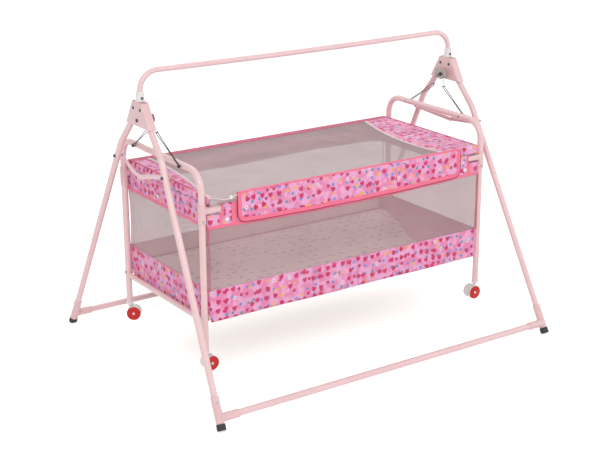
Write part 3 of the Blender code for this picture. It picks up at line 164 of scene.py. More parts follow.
def surface(name, points, finish, uv=None, wrap=False, caps=False, angle=40, loop=False):
    """Quads through a grid of points. wrap joins the last column to the first, loop the last row."""
    rows, cols = points.shape[:2]
    number = np.arange(rows * cols).reshape(rows, cols)
    grid = np.concatenate((number, number[:, :1]), axis=1) if wrap else number
    grid = np.concatenate((grid, grid[:1]), axis=0) if loop else grid
    faces = joined(grid[:-1, :-1], grid[:-1, 1:], grid[1:, 1:], grid[1:, :-1]).reshape(-1, 4).tolist()
    if caps:
        faces += [number[0, ::-1].tolist(), number[-1].tolist()]
    mesh = bpy.data.meshes.new(name)
    mesh.from_pydata(points.reshape(-1, 3).tolist(), [], faces)
    if uv is not None:
        index = np.arange(grid.size).reshape(grid.shape)
        order = joined(index[:-1, :-1], index[:-1, 1:], index[1:, 1:], index[1:, :-1]).reshape(-1)
        flat = np.zeros((len(mesh.loops), 2))
        flat[: len(order)] = uv.reshape(-1, 2)[order]
        mesh.uv_layers.new(name="UVMap").data.foreach_set("uv", flat.reshape(-1))
    mesh.materials.append(finish)
    mesh.shade_smooth()
    mesh.set_sharp_from_angle(angle=math.radians(angle))
    piece = bpy.data.objects.new(name, mesh)
    scene.collection.objects.link(piece)
    return piece


def fit(piece, body, slot, *nodes):
    """Hangs a piece on its body and lets it stand for CAD nodes. The slot, its finish's name, is not used."""
    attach(piece, body)
    if nodes:
        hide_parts(*nodes)
    return piece


def bent(corners, radii, steps=9):
    """Points along straight runs that are joined by arcs of the given radii.

    An arc starts before its corner by the radius times the tangent of half the turn.
    """
    corners = [Vector(corner) for corner in corners]
    line = [corners[0]]
    for before, corner, after, radius in zip(corners, corners[1:], corners[2:], radii):
        arriving, leaving = (corner - before).normalized(), (after - corner).normalized()
        turn = arriving.angle(leaving)
        start = corner - arriving * radius * math.tan(turn / 2)
        normal = arriving.cross(leaving).normalized()
        centre = start + normal.cross(arriving) * radius
        for step in range(steps + 1):
            line.append(centre + Matrix.Rotation(turn * step / steps, 3, normal) @ (start - centre))
    line.append(corners[-1])
    return np.array([tuple(point) for point in line])


def straight(start, finish, count=12):
    """Evenly spaced points: the start, plus growing shares of the way to the finish."""
    return np.asarray(start, float) + np.linspace(0, 1, count)[:, None] * np.subtract(finish, start)


def along(line, spacing):
    """The same line with more points, none further apart than the spacing."""
    lengths = np.linalg.norm(np.diff(line, axis=0), axis=1)
    counts = np.maximum(np.ceil(lengths / spacing).astype(int), 1)
    pieces = [a + (b - a) * (np.arange(n) / n)[:, None] for a, b, n in zip(line, line[1:], counts)]
    return np.concatenate((*pieces, line[-1:]))


def run_along(line):
    """The distance from a line's start to each of its points."""
    return np.concatenate(([0], np.cumsum(np.linalg.norm(np.diff(line, axis=0), axis=1))))


def ring_section(radius, sides=TUBE_SIDES):
    """A circle as offsets to the side and up: the radius times cosine and sine."""
    turn = np.linspace(0, 2 * np.pi, sides, endpoint=False)
    return joined(radius * np.cos(turn), radius * np.sin(turn))


def carry(name, line, section, side, finish, scale=None, closed=False):
    """A cross-section carried along a line: each ring lies across the line's tangent.

    The section's first axis points as nearly as it can to the side vector.
    """
    if closed:
        tangent = np.roll(line, -1, axis=0) - np.roll(line, 1, axis=0)
    else:
        tangent = np.gradient(line, axis=0)
    tangent /= np.linalg.norm(tangent, axis=1)[:, None]
    first = np.asarray(side, float) - (tangent @ np.asarray(side, float))[:, None] * tangent
    first /= np.linalg.norm(first, axis=1)[:, None]
    second = np.cross(tangent, first)
    size = np.ones(len(line)) if scale is None else np.asarray(scale, float)
    section = section[None] * size[:, None, None]
    points = line[:, None] + first[:, None] * section[..., :1] + second[:, None] * section[..., 1:]
    run = run_along(np.concatenate((line, line[:1])) if closed else line)
    around = np.linspace(0, 1, section.shape[1] + 1) * np.ptp(section[0, :, 0]) * math.pi
    uv = np.stack(np.meshgrid(run, around, indexing="ij"), axis=-1)
    return surface(name, points, finish, uv, wrap=True, caps=not closed, loop=closed)


def tube(name, start, finish, radius=TUBE, count=40):
    """A straight round tube in the frame's pink paint."""
    upward = (0, 0, 1) if start[2] == finish[2] and start[1] == finish[1] else (1, 0, 0)
    return carry(name, straight(start, finish, count), ring_section(radius), upward, PINK_TUBE)


def shader_group(name, inputs, outputs):
    """An empty shader group; inputs are (name, kind, value) and outputs (name, kind)."""
    group = bpy.data.node_groups.new(name, "ShaderNodeTree")
    for label, kind, value in inputs:
        socket = group.interface.new_socket(label, in_out="INPUT", socket_type="NodeSocket" + kind)
        if value is not None:
            socket.default_value = value
    for label, kind in outputs:
        group.interface.new_socket(label, in_out="OUTPUT", socket_type="NodeSocket" + kind)
    return group, group.nodes.new("NodeGroupInput").outputs, group.nodes.new("NodeGroupOutput").inputs


def vectors(tree, operation, *values, scale=None):
    """One vector step on sockets or plain vectors."""
    node = tree.nodes.new("ShaderNodeVectorMath")
    node.operation = operation
    for target, value in zip(node.inputs, values):
        plug(tree, target, value)
    if scale is not None:
        plug(tree, node.inputs["Scale"], scale)
    return node.outputs["Value" if operation == "LENGTH" else "Vector"]


def blended(tree, share, first, second):
    """Mixes two colours by a share."""
    node = tree.nodes.new("ShaderNodeMix")
    node.data_type = "RGBA"
    plug(tree, node.inputs["Factor"], share)
    plug(tree, node.inputs["A"], first)
    plug(tree, node.inputs["B"], second)
    return node.outputs["Result"]


def noise(tree, where, scale, detail=3.0, roughness=0.5):
    """Cloudy noise from 0 to 1 with so many clouds to the metre."""
    node = tree.nodes.new("ShaderNodeTexNoise")
    node.inputs["Scale"].default_value = scale
    node.inputs["Detail"].default_value = detail
    node.inputs["Roughness"].default_value = roughness
    plug(tree, node.inputs["Vector"], where)
    return node.outputs["Fac"]


def ramped(tree, value, low, high, start=0.0, end=1.0):
    """Maps a value from one range to another, smoothly and clamped."""
    node = tree.nodes.new("ShaderNodeMapRange")
    node.interpolation_type = "SMOOTHSTEP"
    for label, number in (("From Min", low), ("From Max", high), ("To Min", start), ("To Max", end)):
        node.inputs[label].default_value = number
    plug(tree, node.inputs["Value"], value)
    return node.outputs["Result"]


def on_object(tree):
    """The object's own coordinates."""
    return tree.nodes.new("ShaderNodeTexCoord").outputs["Object"]


def finished(tree, shader, colour, roughness, height, strength, depth):
    """Lets a colour, a roughness and a bump height vary over the surface."""
    plug(tree, shader.inputs["Base Color"], colour)
    plug(tree, shader.inputs["Roughness"], roughness)
    bump = tree.nodes.new("ShaderNodeBump")
    bump.inputs["Strength"].default_value = strength
    bump.inputs["Distance"].default_value = depth
    plug(tree, bump.inputs["Height"], height)
    plug(tree, shader.inputs["Normal"], bump.outputs["Normal"])


def placed(tree, group, **values):
    """A shader group put into a material with its own values."""
    node = tree.nodes.new("ShaderNodeGroup")
    node.node_tree = group
    for label, value in values.items():
        plug(tree, node.inputs[label.replace("_", " ")], value)
    return node.outputs


def powder_coat():
    """A faint orange peel, cloudy gloss, and a few handling scuffs that dull the paint."""
    tree, given, made = shader_group(
        "powder_coat",
        (("Colour", "Color", (0.8, 0.8, 0.8, 1)), ("Scuff Colour", "Color", (0.5, 0.5, 0.5, 1)),
         ("Gloss", "Float", 0.3), ("Wear", "Float", 0.5)),
        (("Colour", "Color"), ("Roughness", "Float"), ("Height", "Float")),
    )
    where = on_object(tree)
    cloud = noise(tree, where, 14.0, 4.0)
    nicks = ramped(tree, noise(tree, where, 210.0, 5.0, 0.7), 0.69, 0.74)
    patches = ramped(tree, noise(tree, where, 9.0, 2.0), 0.52, 0.70)
    scuffs = maths(tree, "MULTIPLY", maths(tree, "MULTIPLY", nicks, patches), given["Wear"])
    shade = ramped(tree, cloud, 0.3, 0.7, 0.0, 0.14)
    tinted = blended(tree, shade, given["Colour"], given["Scuff Colour"])
    plug(tree, made["Colour"], blended(tree, scuffs, tinted, given["Scuff Colour"]))
    rough = maths(tree, "MULTIPLY_ADD", cloud, 0.12, given["Gloss"])
    plug(tree, made["Roughness"], maths(tree, "MULTIPLY_ADD", scuffs, 0.3, rough))
    plug(tree, made["Height"], maths(tree, "SUBTRACT", noise(tree, where, 900.0, 2.0), scuffs))
    return tree


POWDER_COAT = powder_coat()


def powder_coated(name, colour, scuff, gloss, wear):
    """Coated steel: the paint's colour, with its scuffs in another."""
    finish, tree, shader = new_finish(name, colour, gloss, Coat_Weight=0.25, Coat_Roughness=0.12)
    coat = placed(tree, POWDER_COAT, Colour=colour, Scuff_Colour=scuff, Gloss=gloss, Wear=wear)
    finished(tree, shader, coat["Colour"], coat["Roughness"], coat["Height"], 0.10, 0.0002)
    return finish


PINK_TUBE = powder_coated("pink_tube_paint", srgb(243, 207, 208), srgb(212, 160, 162), 0.24, 0.6)
PINK_PLATE = powder_coated("pink_plate_paint", srgb(238, 200, 201), srgb(204, 150, 152), 0.27, 0.9)


# Stand legs, base bars and feet
# Each leg is bent at the knee, bolted into the head bracket above and pushed into a
# welded corner socket below. A bolt locks each socket and a rubber cup closes the tube.
SIDES = {"left": -1, "right": 1}
ENDS = {"front": -1, "back": 1}
CORNERS = [
    (side_name, side, end_name, end)
    for side_name, side in SIDES.items() for end_name, end in ENDS.items()
]
FOOT_X, HEAD_X, FOOT_Y = 0.5955, 0.5577, 0.472
PIVOT_Y, PIVOT_Z, KNEE_Y, KNEE_Z = 0.0205, 0.795, 0.1223, 0.6712
LEG_TOP_Z, LEG_BEND_Z, LEG_FOOT_Z, LEG_BENDS = 0.806, 0.785, 0.0065, (0.020, 0.075)
BASE_Z, BAR_OUT, BAR_GAP = 0.034, 0.0045, 0.002
SOCKET_TOP_Z, SOCKET_FOOT_Z, SOCKET_STEM, SOCKET_ARM, SOCKET_REACH = 0.086, 0.0184, 0.0120, 0.0119, 0.060
SOCKET_BOLT_Z, SOCKET_BOLT_OUT, SOCKET_BOLT_RISE = 0.070, 0.0117, 0.5210
CUP_HEIGHTS = (0.002, 0.0022, 0.0032, 0.0075, 0.0085, 0.0095, 0.0135, 0.0145, 0.0155, 0.0170, 0.0176, 0.0178)
CUP_RADII = (0.0116, 0.0125, 0.0130, 0.0130, 0.0126, 0.0130, 0.0130, 0.0126, 0.0130, 0.0129, 0.0124, 0.0100)
BENT_SPACING = 0.03


def leg_axis(side, end, z):
    """A point on the axis of a leg's long lower run, which leans in evenly as it rises."""
    x = FOOT_X - (FOOT_X - HEAD_X) * z / PIVOT_Z
    y = FOOT_Y - (FOOT_Y - KNEE_Y) * z / KNEE_Z
    return np.array((side * x, end * y, z))


def lips(count, edge):
    """Full width along a piece, drawn in over its last rings so that both ends are rounded."""
    scale = np.ones(count)
    scale[[0, -1]] = 1 - 2.2 * edge
    scale[[1, -2]] = 1 - 0.7 * edge
    return scale


def sleeve(name, start, finish, radius, coat, lip=0.0012):
    """A short outer tube with rounded mouths: full width but for its last rings."""
    start, finish = np.asarray(start, float), np.asarray(finish, float)
    length = np.linalg.norm(finish - start)
    shares = np.array((0, 0.35 * lip, lip, 3 * lip, length / 2, length - 3 * lip, length - lip,
                       length - 0.35 * lip, length)) / length
    line = start + shares[:, None] * (finish - start)
    side = (1, 0, 0) if abs((finish - start)[0]) < 0.5 * length else (0, 0, 1)
    return carry(name, line, ring_section(radius), side, coat, scale=lips(len(line), lip / radius))


def bolt_head(name, place, outward, radius, height, finish, sides, dome):
    """A bolt head of so many sides, whose top edge is drawn in by the share called dome."""
    place, outward = np.asarray(place, float), np.asarray(outward, float)
    outward = outward / np.linalg.norm(outward)
    heights = np.array((-0.2, 0.0, 0.72, 0.9, 1.0)) * height
    line = place + heights[:, None] * outward
    side = (0, 0, 1) if abs(outward[2]) < 0.8 else (1, 0, 0)
    scale = np.array((1, 1, 1, 1 - 0.35 * dome, 1 - dome))
    return carry(name, line, ring_section(radius, sides), side, finish, scale=scale)


def merged(name, *pieces):
    """Several meshes joined as one piece that keeps each mesh's material."""
    first = pieces[0]
    with bpy.context.temp_override(active_object=first, object=first, selected_editable_objects=list(pieces)):
        bpy.ops.object.join()
    first.name = name
    first.data.name = name
    return first


def darker(colour, share):
    """A colour with its red, green and blue multiplied by a share."""
    return tuple(share * c for c in colour[:3]) + (1,)


def plated(name, colour, roughness, streaks):
    """Zinc-plated steel: cloudy, faintly streaked metal, darker and rougher in scattered cloudy patches."""
    finish, tree, shader = new_finish(name, colour, roughness, Metallic=0.9)
    where = on_object(tree)
    cloud = noise(tree, where, 160.0, 4.0)
    dull = blended(tree, ramped(tree, cloud, 0.35, 0.7), colour, darker(colour, 0.62))
    rough = ramped(tree, cloud, 0.2, 0.8, roughness - 0.1, roughness + 0.15)
    finished(tree, shader, dull, rough, noise(tree, where, streaks, 2.0), 0.15, 0.0002)
    return finish


ZINC = plated("zinc_plate", srgb(176, 170, 164), 0.38, 700.0)
DARK_BOLT = plated("dark_bolt_steel", srgb(92, 84, 82), 0.42, 900.0)
BRIGHT_BOLT = plated("bright_bolt_steel", srgb(206, 202, 198), 0.30, 900.0)
SOCKET_BOLT = (0.0045, 0.0024, BRIGHT_BOLT, 16, 0.5)

BLACK_CUP, tree, shader = new_finish("black_rubber_cup", srgb(38, 37, 36), 0.62)
where = on_object(tree)
grit = noise(tree, where, 420.0, 4.0)
dust = ramped(tree, noise(tree, where, 60.0, 3.0), 0.45, 0.75, 0.0, 0.35)
rubber = blended(tree, dust, srgb(36, 35, 34), srgb(86, 82, 78))
finished(tree, shader, rubber, ramped(tree, grit, 0.2, 0.8, 0.5, 0.75), grit, 0.25, 0.0003)

base_x, base_y = leg_axis(1, 1, BASE_Z)[:2]
for end_name, end in ENDS.items():
    bar_y, reach = end * (base_y + BAR_OUT), base_x - TUBE - BAR_GAP
    bar = tube(f"painted_base_bar_{end_name}", (-reach, bar_y, BASE_Z), (reach, bar_y, BASE_Z))
    fit(bar, f"{end_name}_frame", "pink_paint", f"base_bar_{end_name}")

for side_name, side, end_name, end in CORNERS:
    corner, body = f"{end_name}_{side_name}", f"{end_name}_frame"
    heights = ((PIVOT_Y, LEG_TOP_Z), (PIVOT_Y, LEG_BEND_Z), (KNEE_Y, KNEE_Z))
    line = [(side * leg_axis(1, 1, z)[0], end * y, z) for y, z in heights]
    line = along(bent((*line, leg_axis(side, end, LEG_FOOT_Z)), LEG_BENDS, 14), BENT_SPACING)
    leg = carry(f"painted_leg_{corner}", line, ring_section(TUBE), (1, 0, 0), PINK_TUBE)
    fit(leg, body, "pink_paint", f"leg_{corner}")

    top, foot = leg_axis(side, end, SOCKET_TOP_Z), leg_axis(side, end, SOCKET_FOOT_Z)
    root = np.array((side * base_x, end * (base_y + BAR_OUT), BASE_Z))
    normal = np.array((0, end, SOCKET_BOLT_RISE)) / math.hypot(1, SOCKET_BOLT_RISE)
    seat = leg_axis(side, end, SOCKET_BOLT_Z) + normal * SOCKET_BOLT_OUT
    socket = merged(
        f"corner_socket_{corner}",
        sleeve("socket_stem", foot, top, SOCKET_STEM, PINK_PLATE),
        sleeve("socket_arm", root - (side * SOCKET_REACH, 0, 0), root, SOCKET_ARM, PINK_PLATE),
        bolt_head("socket_bolt", seat, normal, *SOCKET_BOLT),
    )
    fit(socket, body, "pink_paint", f"foot_socket_{corner}")

    line = np.array([leg_axis(side, end, z) for z in CUP_HEIGHTS])
    cup = carry(f"rubber_cup_{corner}", line, ring_section(1.0), (1, 0, 0), BLACK_CUP, scale=CUP_RADII)
    places = np.empty(3 * len(cup.data.vertices))
    cup.data.vertices.foreach_get("co", places)
    places[2::3] = np.maximum(places[2::3], 0.0)
    cup.data.vertices.foreach_set("co", places)
    fit(cup, body, "black_rubber", f"foot_tip_{corner}")


# Top bar and its sleeves
# One long tube, bent down at both ends and sagging a little under its own weight. A white
# plastic sleeve, locked by a small dark bolt, covers the joint with each head bracket.
BAR_X, BAR_TOP, BAR_FOOT, BAR_BEND, BAR_SAG = 0.5586, 0.900, 0.8045, 0.057, 0.004
SLEEVE_HEIGHTS = np.array((0.8150, 0.8154, 0.8165, 0.8200, 0.8212, 0.8300, 0.8400, 0.8432, 0.8442, 0.8444))
SLEEVE_RADII = (0.0122, 0.0130, 0.0132, 0.0129, 0.0122, 0.0117, 0.0110, 0.0108, 0.0103, 0.0090)
SLEEVE_BOLT_Y, SLEEVE_BOLT_Z = 0.0118, 0.826
SLEEVE_BOLT, SLEEVE_NUT = (0.0036, 0.0024, DARK_BOLT, 14, 0.5), (0.0036, 0.0022, DARK_BOLT, 6, 0.3)

bar_line = along(bent(
    ((-BAR_X, 0, BAR_FOOT), (-BAR_X, 0, BAR_TOP), (BAR_X, 0, BAR_TOP), (BAR_X, 0, BAR_FOOT)),
    (BAR_BEND, BAR_BEND), 16,
), BENT_SPACING)
bar_line[:, 2] -= BAR_SAG * np.clip(1 - (bar_line[:, 0] / BAR_X) ** 2, 0, 1)
top_bar = carry("painted_top_bar", bar_line, ring_section(THIN_TUBE), (0, 1, 0), PINK_TUBE)
fit(top_bar, "stand_head", "pink_paint", "top_bar")

WHITE_MOULDING, tree, shader = new_finish("white_moulding", srgb(238, 232, 232), 0.32, Subsurface_Weight=0.06)
where = on_object(tree)
grime = ramped(tree, noise(tree, where, 70.0, 4.0), 0.5, 0.8, 0.0, 0.35)
soiled = blended(tree, grime, srgb(240, 234, 234), srgb(214, 198, 196))
gloss = ramped(tree, noise(tree, where, 300.0), 0.2, 0.8, 0.26, 0.42)
finished(tree, shader, soiled, gloss, noise(tree, where, 500.0), 0.06, 0.0002)

for side_name, side in SIDES.items():
    x, (near, far) = side * BAR_X, (-SLEEVE_BOLT_Y, SLEEVE_BOLT_Y)
    line = joined(x, 0.0, SLEEVE_HEIGHTS)
    shell = carry("sleeve_shell", line, ring_section(1.0), (1, 0, 0), WHITE_MOULDING, scale=SLEEVE_RADII)
    head = bolt_head("sleeve_bolt", (x, near, SLEEVE_BOLT_Z), (0, -1, 0), *SLEEVE_BOLT)
    nut = bolt_head("sleeve_nut", (x, far, SLEEVE_BOLT_Z), (0, 1, 0), *SLEEVE_NUT)
    white_sleeve = merged(f"white_sleeve_{side_name}", shell, head, nut)
    fit(white_sleeve, "stand_head", "white_plastic", f"bar_sleeve_{side_name}")


# Head brackets, pivot bolts and hanger plates
# Each head is one pressed sheet folded into a tapered box that holds the two legs and the
# top bar. The cradle swings on a two-lobed plate, bolted loosely through its inner face.
HEAD_INNER, HEAD_OUTER, HEAD_TOP, HEAD_FOOT = 0.5461, 0.5711, 0.8147, 0.745
HEAD_TOP_HALF, HEAD_FOOT_HALF, HEAD_CORNER, SHEET = 0.029, 0.071, 0.0042, 0.0012
HEAD_WALL = np.array((
    (0.9, 0.0), (0.3, 0.0), (0.0, 0.0006), (0.0, 0.010), (0.0, 0.030), (0.0, 0.055), (0.0, 0.0690),
    (0.3, 0.0697), (0.9, 0.0697), (1.0, 0.0690), (1.0, 0.030), (1.0, 0.0006),
))
ROOF_HALF, ROOF_CORNER, PRESSED_EDGE = 0.0185, 0.003, 0.0004
PLATE_OUTER, PLATE_INNER, SWING_Z = 0.5311, 0.5291, 0.762
LOBE_Y, LOBE_Z, LOBE_RADIUS = 0.0155, 0.004, 0.0135
PLATE_NECK, PLATE_WAIST = (0.003, -0.0172), (0.0075, -0.0155)
EYE_Y, EYE_DROP, EYE_HOLE, SWING_HOLE = 0.0135, 0.001, 0.003, 0.0043
SHAFT_PAST, SEATED = 0.003, 0.0003
LEG_RIVET = (0.0044, 0.0017, DARK_BOLT, 16, 0.45)
SWING_HEAD, SWING_NUT = (0.0050, 0.0030, DARK_BOLT, 6, 0.25), (0.0062, 0.0042, DARK_BOLT, 6, 0.22)
SWING_SHAFT, SWING_SPACER = (0.0039, ZINC, 0.0005), (0.0068, ZINC, 0.0006)


def rounded_loop(half_x, half_y, radius, arc=7, straights=6):
    """A rounded rectangle as points that run once round it."""
    turn = np.linspace(0, np.pi / 2, arc)
    quarter = joined(half_x - radius + radius * np.cos(turn), half_y - radius + radius * np.sin(turn))
    flips = ((1, 1, 1), (-1, 1, -1), (-1, -1, 1), (1, -1, -1))
    runs = [quarter[::order] * (sx, sy) for sx, sy, order in flips]
    share = (np.arange(1, straights) / straights)[:, None]
    links = [a[-1] + share * (b[0] - a[-1]) for a, b in zip(runs, runs[1:] + runs[:1])]
    return np.concatenate([part for pair in zip(runs, links) for part in pair])


def pressed(name, outline, holes, thickness, edge, place, finish):
    """A flat plate with holes and softly rounded edges; its outline lies in the place's XY plane."""
    curve = bpy.data.curves.new(name, "CURVE")
    curve.dimensions = "2D"
    curve.fill_mode = "BOTH"
    curve.extrude = thickness / 2 - edge
    curve.bevel_depth = edge
    curve.bevel_resolution = 2
    curve.offset = -edge
    for points in (outline, *holes):
        spline = curve.splines.new("POLY")
        spline.points.add(len(points) - 1)
        flat = np.zeros((len(points), 4))
        flat[:, :2] = points
        flat[:, 3] = 1
        spline.points.foreach_set("co", flat.reshape(-1))
        spline.use_cyclic_u = True
    source = bpy.data.objects.new(name, curve)
    scene.collection.objects.link(source)
    mesh = bpy.data.meshes.new_from_object(source.evaluated_get(bpy.context.evaluated_depsgraph_get()))
    bpy.data.objects.remove(source)
    bpy.data.curves.remove(curve)
    mesh.transform(place)
    mesh.materials.clear()
    mesh.materials.append(finish)
    mesh.shade_smooth()
    mesh.set_sharp_from_angle(angle=math.radians(35))
    piece = bpy.data.objects.new(name, mesh)
    scene.collection.objects.link(piece)
    return piece


def across_x(x, z):
    """Turns a plate's flat X and Y into the cradle's Y and Z, with its middle at a point."""
    return Matrix(((0, 0, 1, x), (1, 0, 0, 0), (0, 1, 0, z), (0, 0, 0, 1)))


def swing_point(side, x):
    """A point on the line that the cradle swings about, so far from the middle."""
    return (side * x, 0, SWING_Z)


for side_name, side in SIDES.items():
    middle, half_x = side * (HEAD_INNER + HEAD_OUTER) / 2, (HEAD_OUTER - HEAD_INNER) / 2
    rows = []
    for inset, rise in HEAD_WALL:
        half_y = HEAD_FOOT_HALF + (HEAD_TOP_HALF - HEAD_FOOT_HALF) * rise / (HEAD_TOP - HEAD_FOOT)
        shape = rounded_loop(half_x - inset * SHEET, half_y - inset * SHEET, HEAD_CORNER - inset * SHEET)
        rows.append(joined(middle + shape[:, 0], shape[:, 1], HEAD_FOOT + rise))
    shell = surface("bracket_shell", np.array(rows), PINK_PLATE, wrap=True, loop=True, angle=50)
    roof = pressed(
        "bracket_roof", rounded_loop(half_x - SHEET, ROOF_HALF, ROOF_CORNER), [], SHEET, PRESSED_EDGE,
        Matrix.Translation((middle, 0, HEAD_TOP - SHEET)), PINK_PLATE,
    )
    rivets = []
    for end in ENDS.values():
        for face, way in ((HEAD_OUTER, side), (HEAD_INNER, -side)):
            place = (side * face, end * PIVOT_Y, PIVOT_Z)
            rivets.append(bolt_head("leg_rivet", place, (way, 0, 0), *LEG_RIVET))
    folded_head = merged(f"folded_head_{side_name}", shell, roof, *rivets)
    fit(folded_head, "stand_head", "pink_paint", f"head_bracket_{side_name}")

    outline = [(PLATE_NECK, PLATE_WAIST)]
    for lobe, first, last in ((1, -52, 130), (-1, 50, 232)):
        turn = np.radians(np.linspace(first, last, 16))
        arc = joined(np.cos(turn), np.sin(turn))
        outline.append((lobe * LOBE_Y, LOBE_Z) + LOBE_RADIUS * arc)
    outline.append([(-y, z) for y, z in (PLATE_WAIST, PLATE_NECK)])
    holes = [ring_section(SWING_HOLE, 24)]
    holes += [ring_section(EYE_HOLE, 14) + (way * EYE_Y, -EYE_DROP) for way in (1, -1)]
    plate = pressed(f"swing_plate_{side_name}", np.concatenate(outline), holes, PLATE_OUTER - PLATE_INNER,
                    PRESSED_EDGE, across_x(side * (PLATE_OUTER + PLATE_INNER) / 2, SWING_Z), ZINC)
    fit(plate, "cradle", "grey_steel", f"hanger_plate_{side_name}")

    shaft = [swing_point(side, x) for x in (PLATE_INNER - SHAFT_PAST, HEAD_OUTER + SHAFT_PAST)]
    spacer = [swing_point(side, x) for x in (PLATE_OUTER + SEATED, HEAD_INNER - SEATED)]
    swing_bolt = merged(
        f"swing_bolt_{side_name}",
        sleeve("swing_shaft", *shaft, *SWING_SHAFT),
        bolt_head("swing_bolt_head", swing_point(side, HEAD_OUTER + SEATED), (side, 0, 0), *SWING_HEAD),
        bolt_head("swing_nut", swing_point(side, PLATE_INNER - SEATED), (-side, 0, 0), *SWING_NUT),
        sleeve("swing_spacer", *spacer, *SWING_SPACER),
    )
    fit(swing_bolt, "stand_head", "grey_steel", f"pivot_bolt_{side_name}")


# Hooks and links
# Bent wire hooks pass through the plate's eyes. Each carries a long closed link of darker
# spring wire, wide at the hook and pinched at the bolt on the hoop.
BRIGHT_WIRE = plated("bright_wire", srgb(196, 190, 186), 0.30, 1200.0)
DARK_WIRE = plated("dark_spring_wire", srgb(98, 90, 88), 0.36, 1500.0)
WIRE, HOOK_PLAY = 0.0013, 0.0006
EYE_Z = SWING_Z - EYE_DROP - (EYE_HOLE - WIRE - HOOK_PLAY)
HOOK_OUTER, HOOK_INNER, HOOK_HALF_GAP, HOOK_TAIL, HOOK_BEND = 0.5327, 0.5275, 0.0042, 0.007, 0.0022
HOOP_X, HOOP_Y, HOOP_TOP = 0.504, 0.234, 0.652
LINK_BOLT_Y, LINK_BOLT, LINK_WIRE, LINK_PLAY, LINK_OUT = 0.137, 0.003, 0.00125, 0.0003, 0.003
LINK_TOP_Y, LINK_TOP_DROP, LINK_BULGE, LINK_WAIST, LINK_START = 0.0235, 0.036, 0.0045, 0.0018, 0.02

for side_name, side, end_name, end in CORNERS:
    corner = f"{end_name}_{side_name}"
    top = np.array((side * (HOOK_INNER - HOOK_HALF_GAP), end * LINK_TOP_Y, SWING_Z - LINK_TOP_DROP))
    foot = np.array((side * (HOOP_X + TUBE + LINK_OUT), end * LINK_BOLT_Y, HOOP_TOP))
    reach = np.linalg.norm(foot - top)
    down = (foot - top) / reach
    low = top + down * (LINK_WIRE + WIRE + LINK_PLAY)
    inner_x = side * (HOOK_INNER - 2 * HOOK_HALF_GAP)
    route = (
        (side * HOOK_OUTER, end * EYE_Y, EYE_Z - HOOK_TAIL),
        (side * HOOK_OUTER, end * EYE_Y, EYE_Z),
        (side * HOOK_INNER, end * EYE_Y, EYE_Z),
        (side * HOOK_INNER, low[1], low[2]),
        (inner_x, low[1], low[2]),
        (inner_x, low[1] - down[1] * HOOK_TAIL, low[2] - down[2] * HOOK_TAIL),
    )
    line = along(bent(route, (HOOK_BEND,) * 4, 8), 0.004)
    hook = carry(f"wire_hook_{corner}", line, ring_section(WIRE, 12), (0, 1, 0), BRIGHT_WIRE)
    fit(hook, "cradle", "grey_steel", f"hook_{corner}")

    aside = np.cross(down, (1, 0, 0))
    aside /= np.linalg.norm(aside)
    turn = np.linspace(0, np.pi, 14)
    eye = LINK_BOLT + LINK_PLAY + LINK_WIRE
    head = joined(LINK_BULGE * (1 - np.sin(turn)), LINK_BULGE * np.cos(turn))
    run = np.linspace(LINK_START, reach - 2.5 * eye, 12)
    waist = joined(run, np.interp(run, (0, 0.55 * reach, reach), (LINK_BULGE, LINK_WAIST, LINK_WAIST)))
    tail = joined(reach + eye * np.sin(turn), -eye * np.cos(turn))
    loop = np.concatenate((head, waist * (1, -1), tail, waist[::-1]))
    line = top + loop[:, :1] * down + loop[:, 1:] * aside
    link = carry(f"wire_link_{corner}", line, ring_section(LINK_WIRE, 12), (1, 0, 0), DARK_WIRE, closed=True)
    fit(link, "cradle", "dark_steel", f"link_{corner}")


# Stays
# Two flattened tubes on each side fold at a riveted knuckle between the legs: one long, one
# short. The left-hand short half bows down; the back halves lie inside the front ones.
STAY_BOLT_Z, STAY_FACE, STAY_THICK, STAY_WIDE, STAY_GAP = 0.628, 0.5549, 0.0045, 0.0132, 0.0006
KNUCKLES = {"left": (0.040, 0.585), "right": (-0.035, 0.617)}
STAY_BOWS, STAY_END_SHARE, STAY_NOSE = {("left", "back"): 0.012}, 0.045, 0.007
STAY_HEAD_OUT, STAY_SHANK_OUT = 0.0098, 0.0106
KNUCKLE_RIVET = (0.0050, 0.0018, PINK_PLATE, 18, 0.45)
STAY_HEAD, STAY_NUT = (0.0052, 0.0034, DARK_BOLT, 6, 0.3), (0.0044, 0.0022, DARK_BOLT, 14, 0.5)
PIN = (0.0029, ZINC, 0.0004)


def flattened(thick, wide, thin_power, wide_power, sides):
    """An oval squared off: half the size times cosine and sine, each raised to a power below one."""
    turn = np.linspace(0, 2 * np.pi, sides, endpoint=False)
    across, up = np.cos(turn), np.sin(turn)
    return joined(0.5 * thick * np.sign(across) * np.abs(across) ** thin_power,
                  0.5 * wide * np.sign(up) * np.abs(up) ** wide_power)


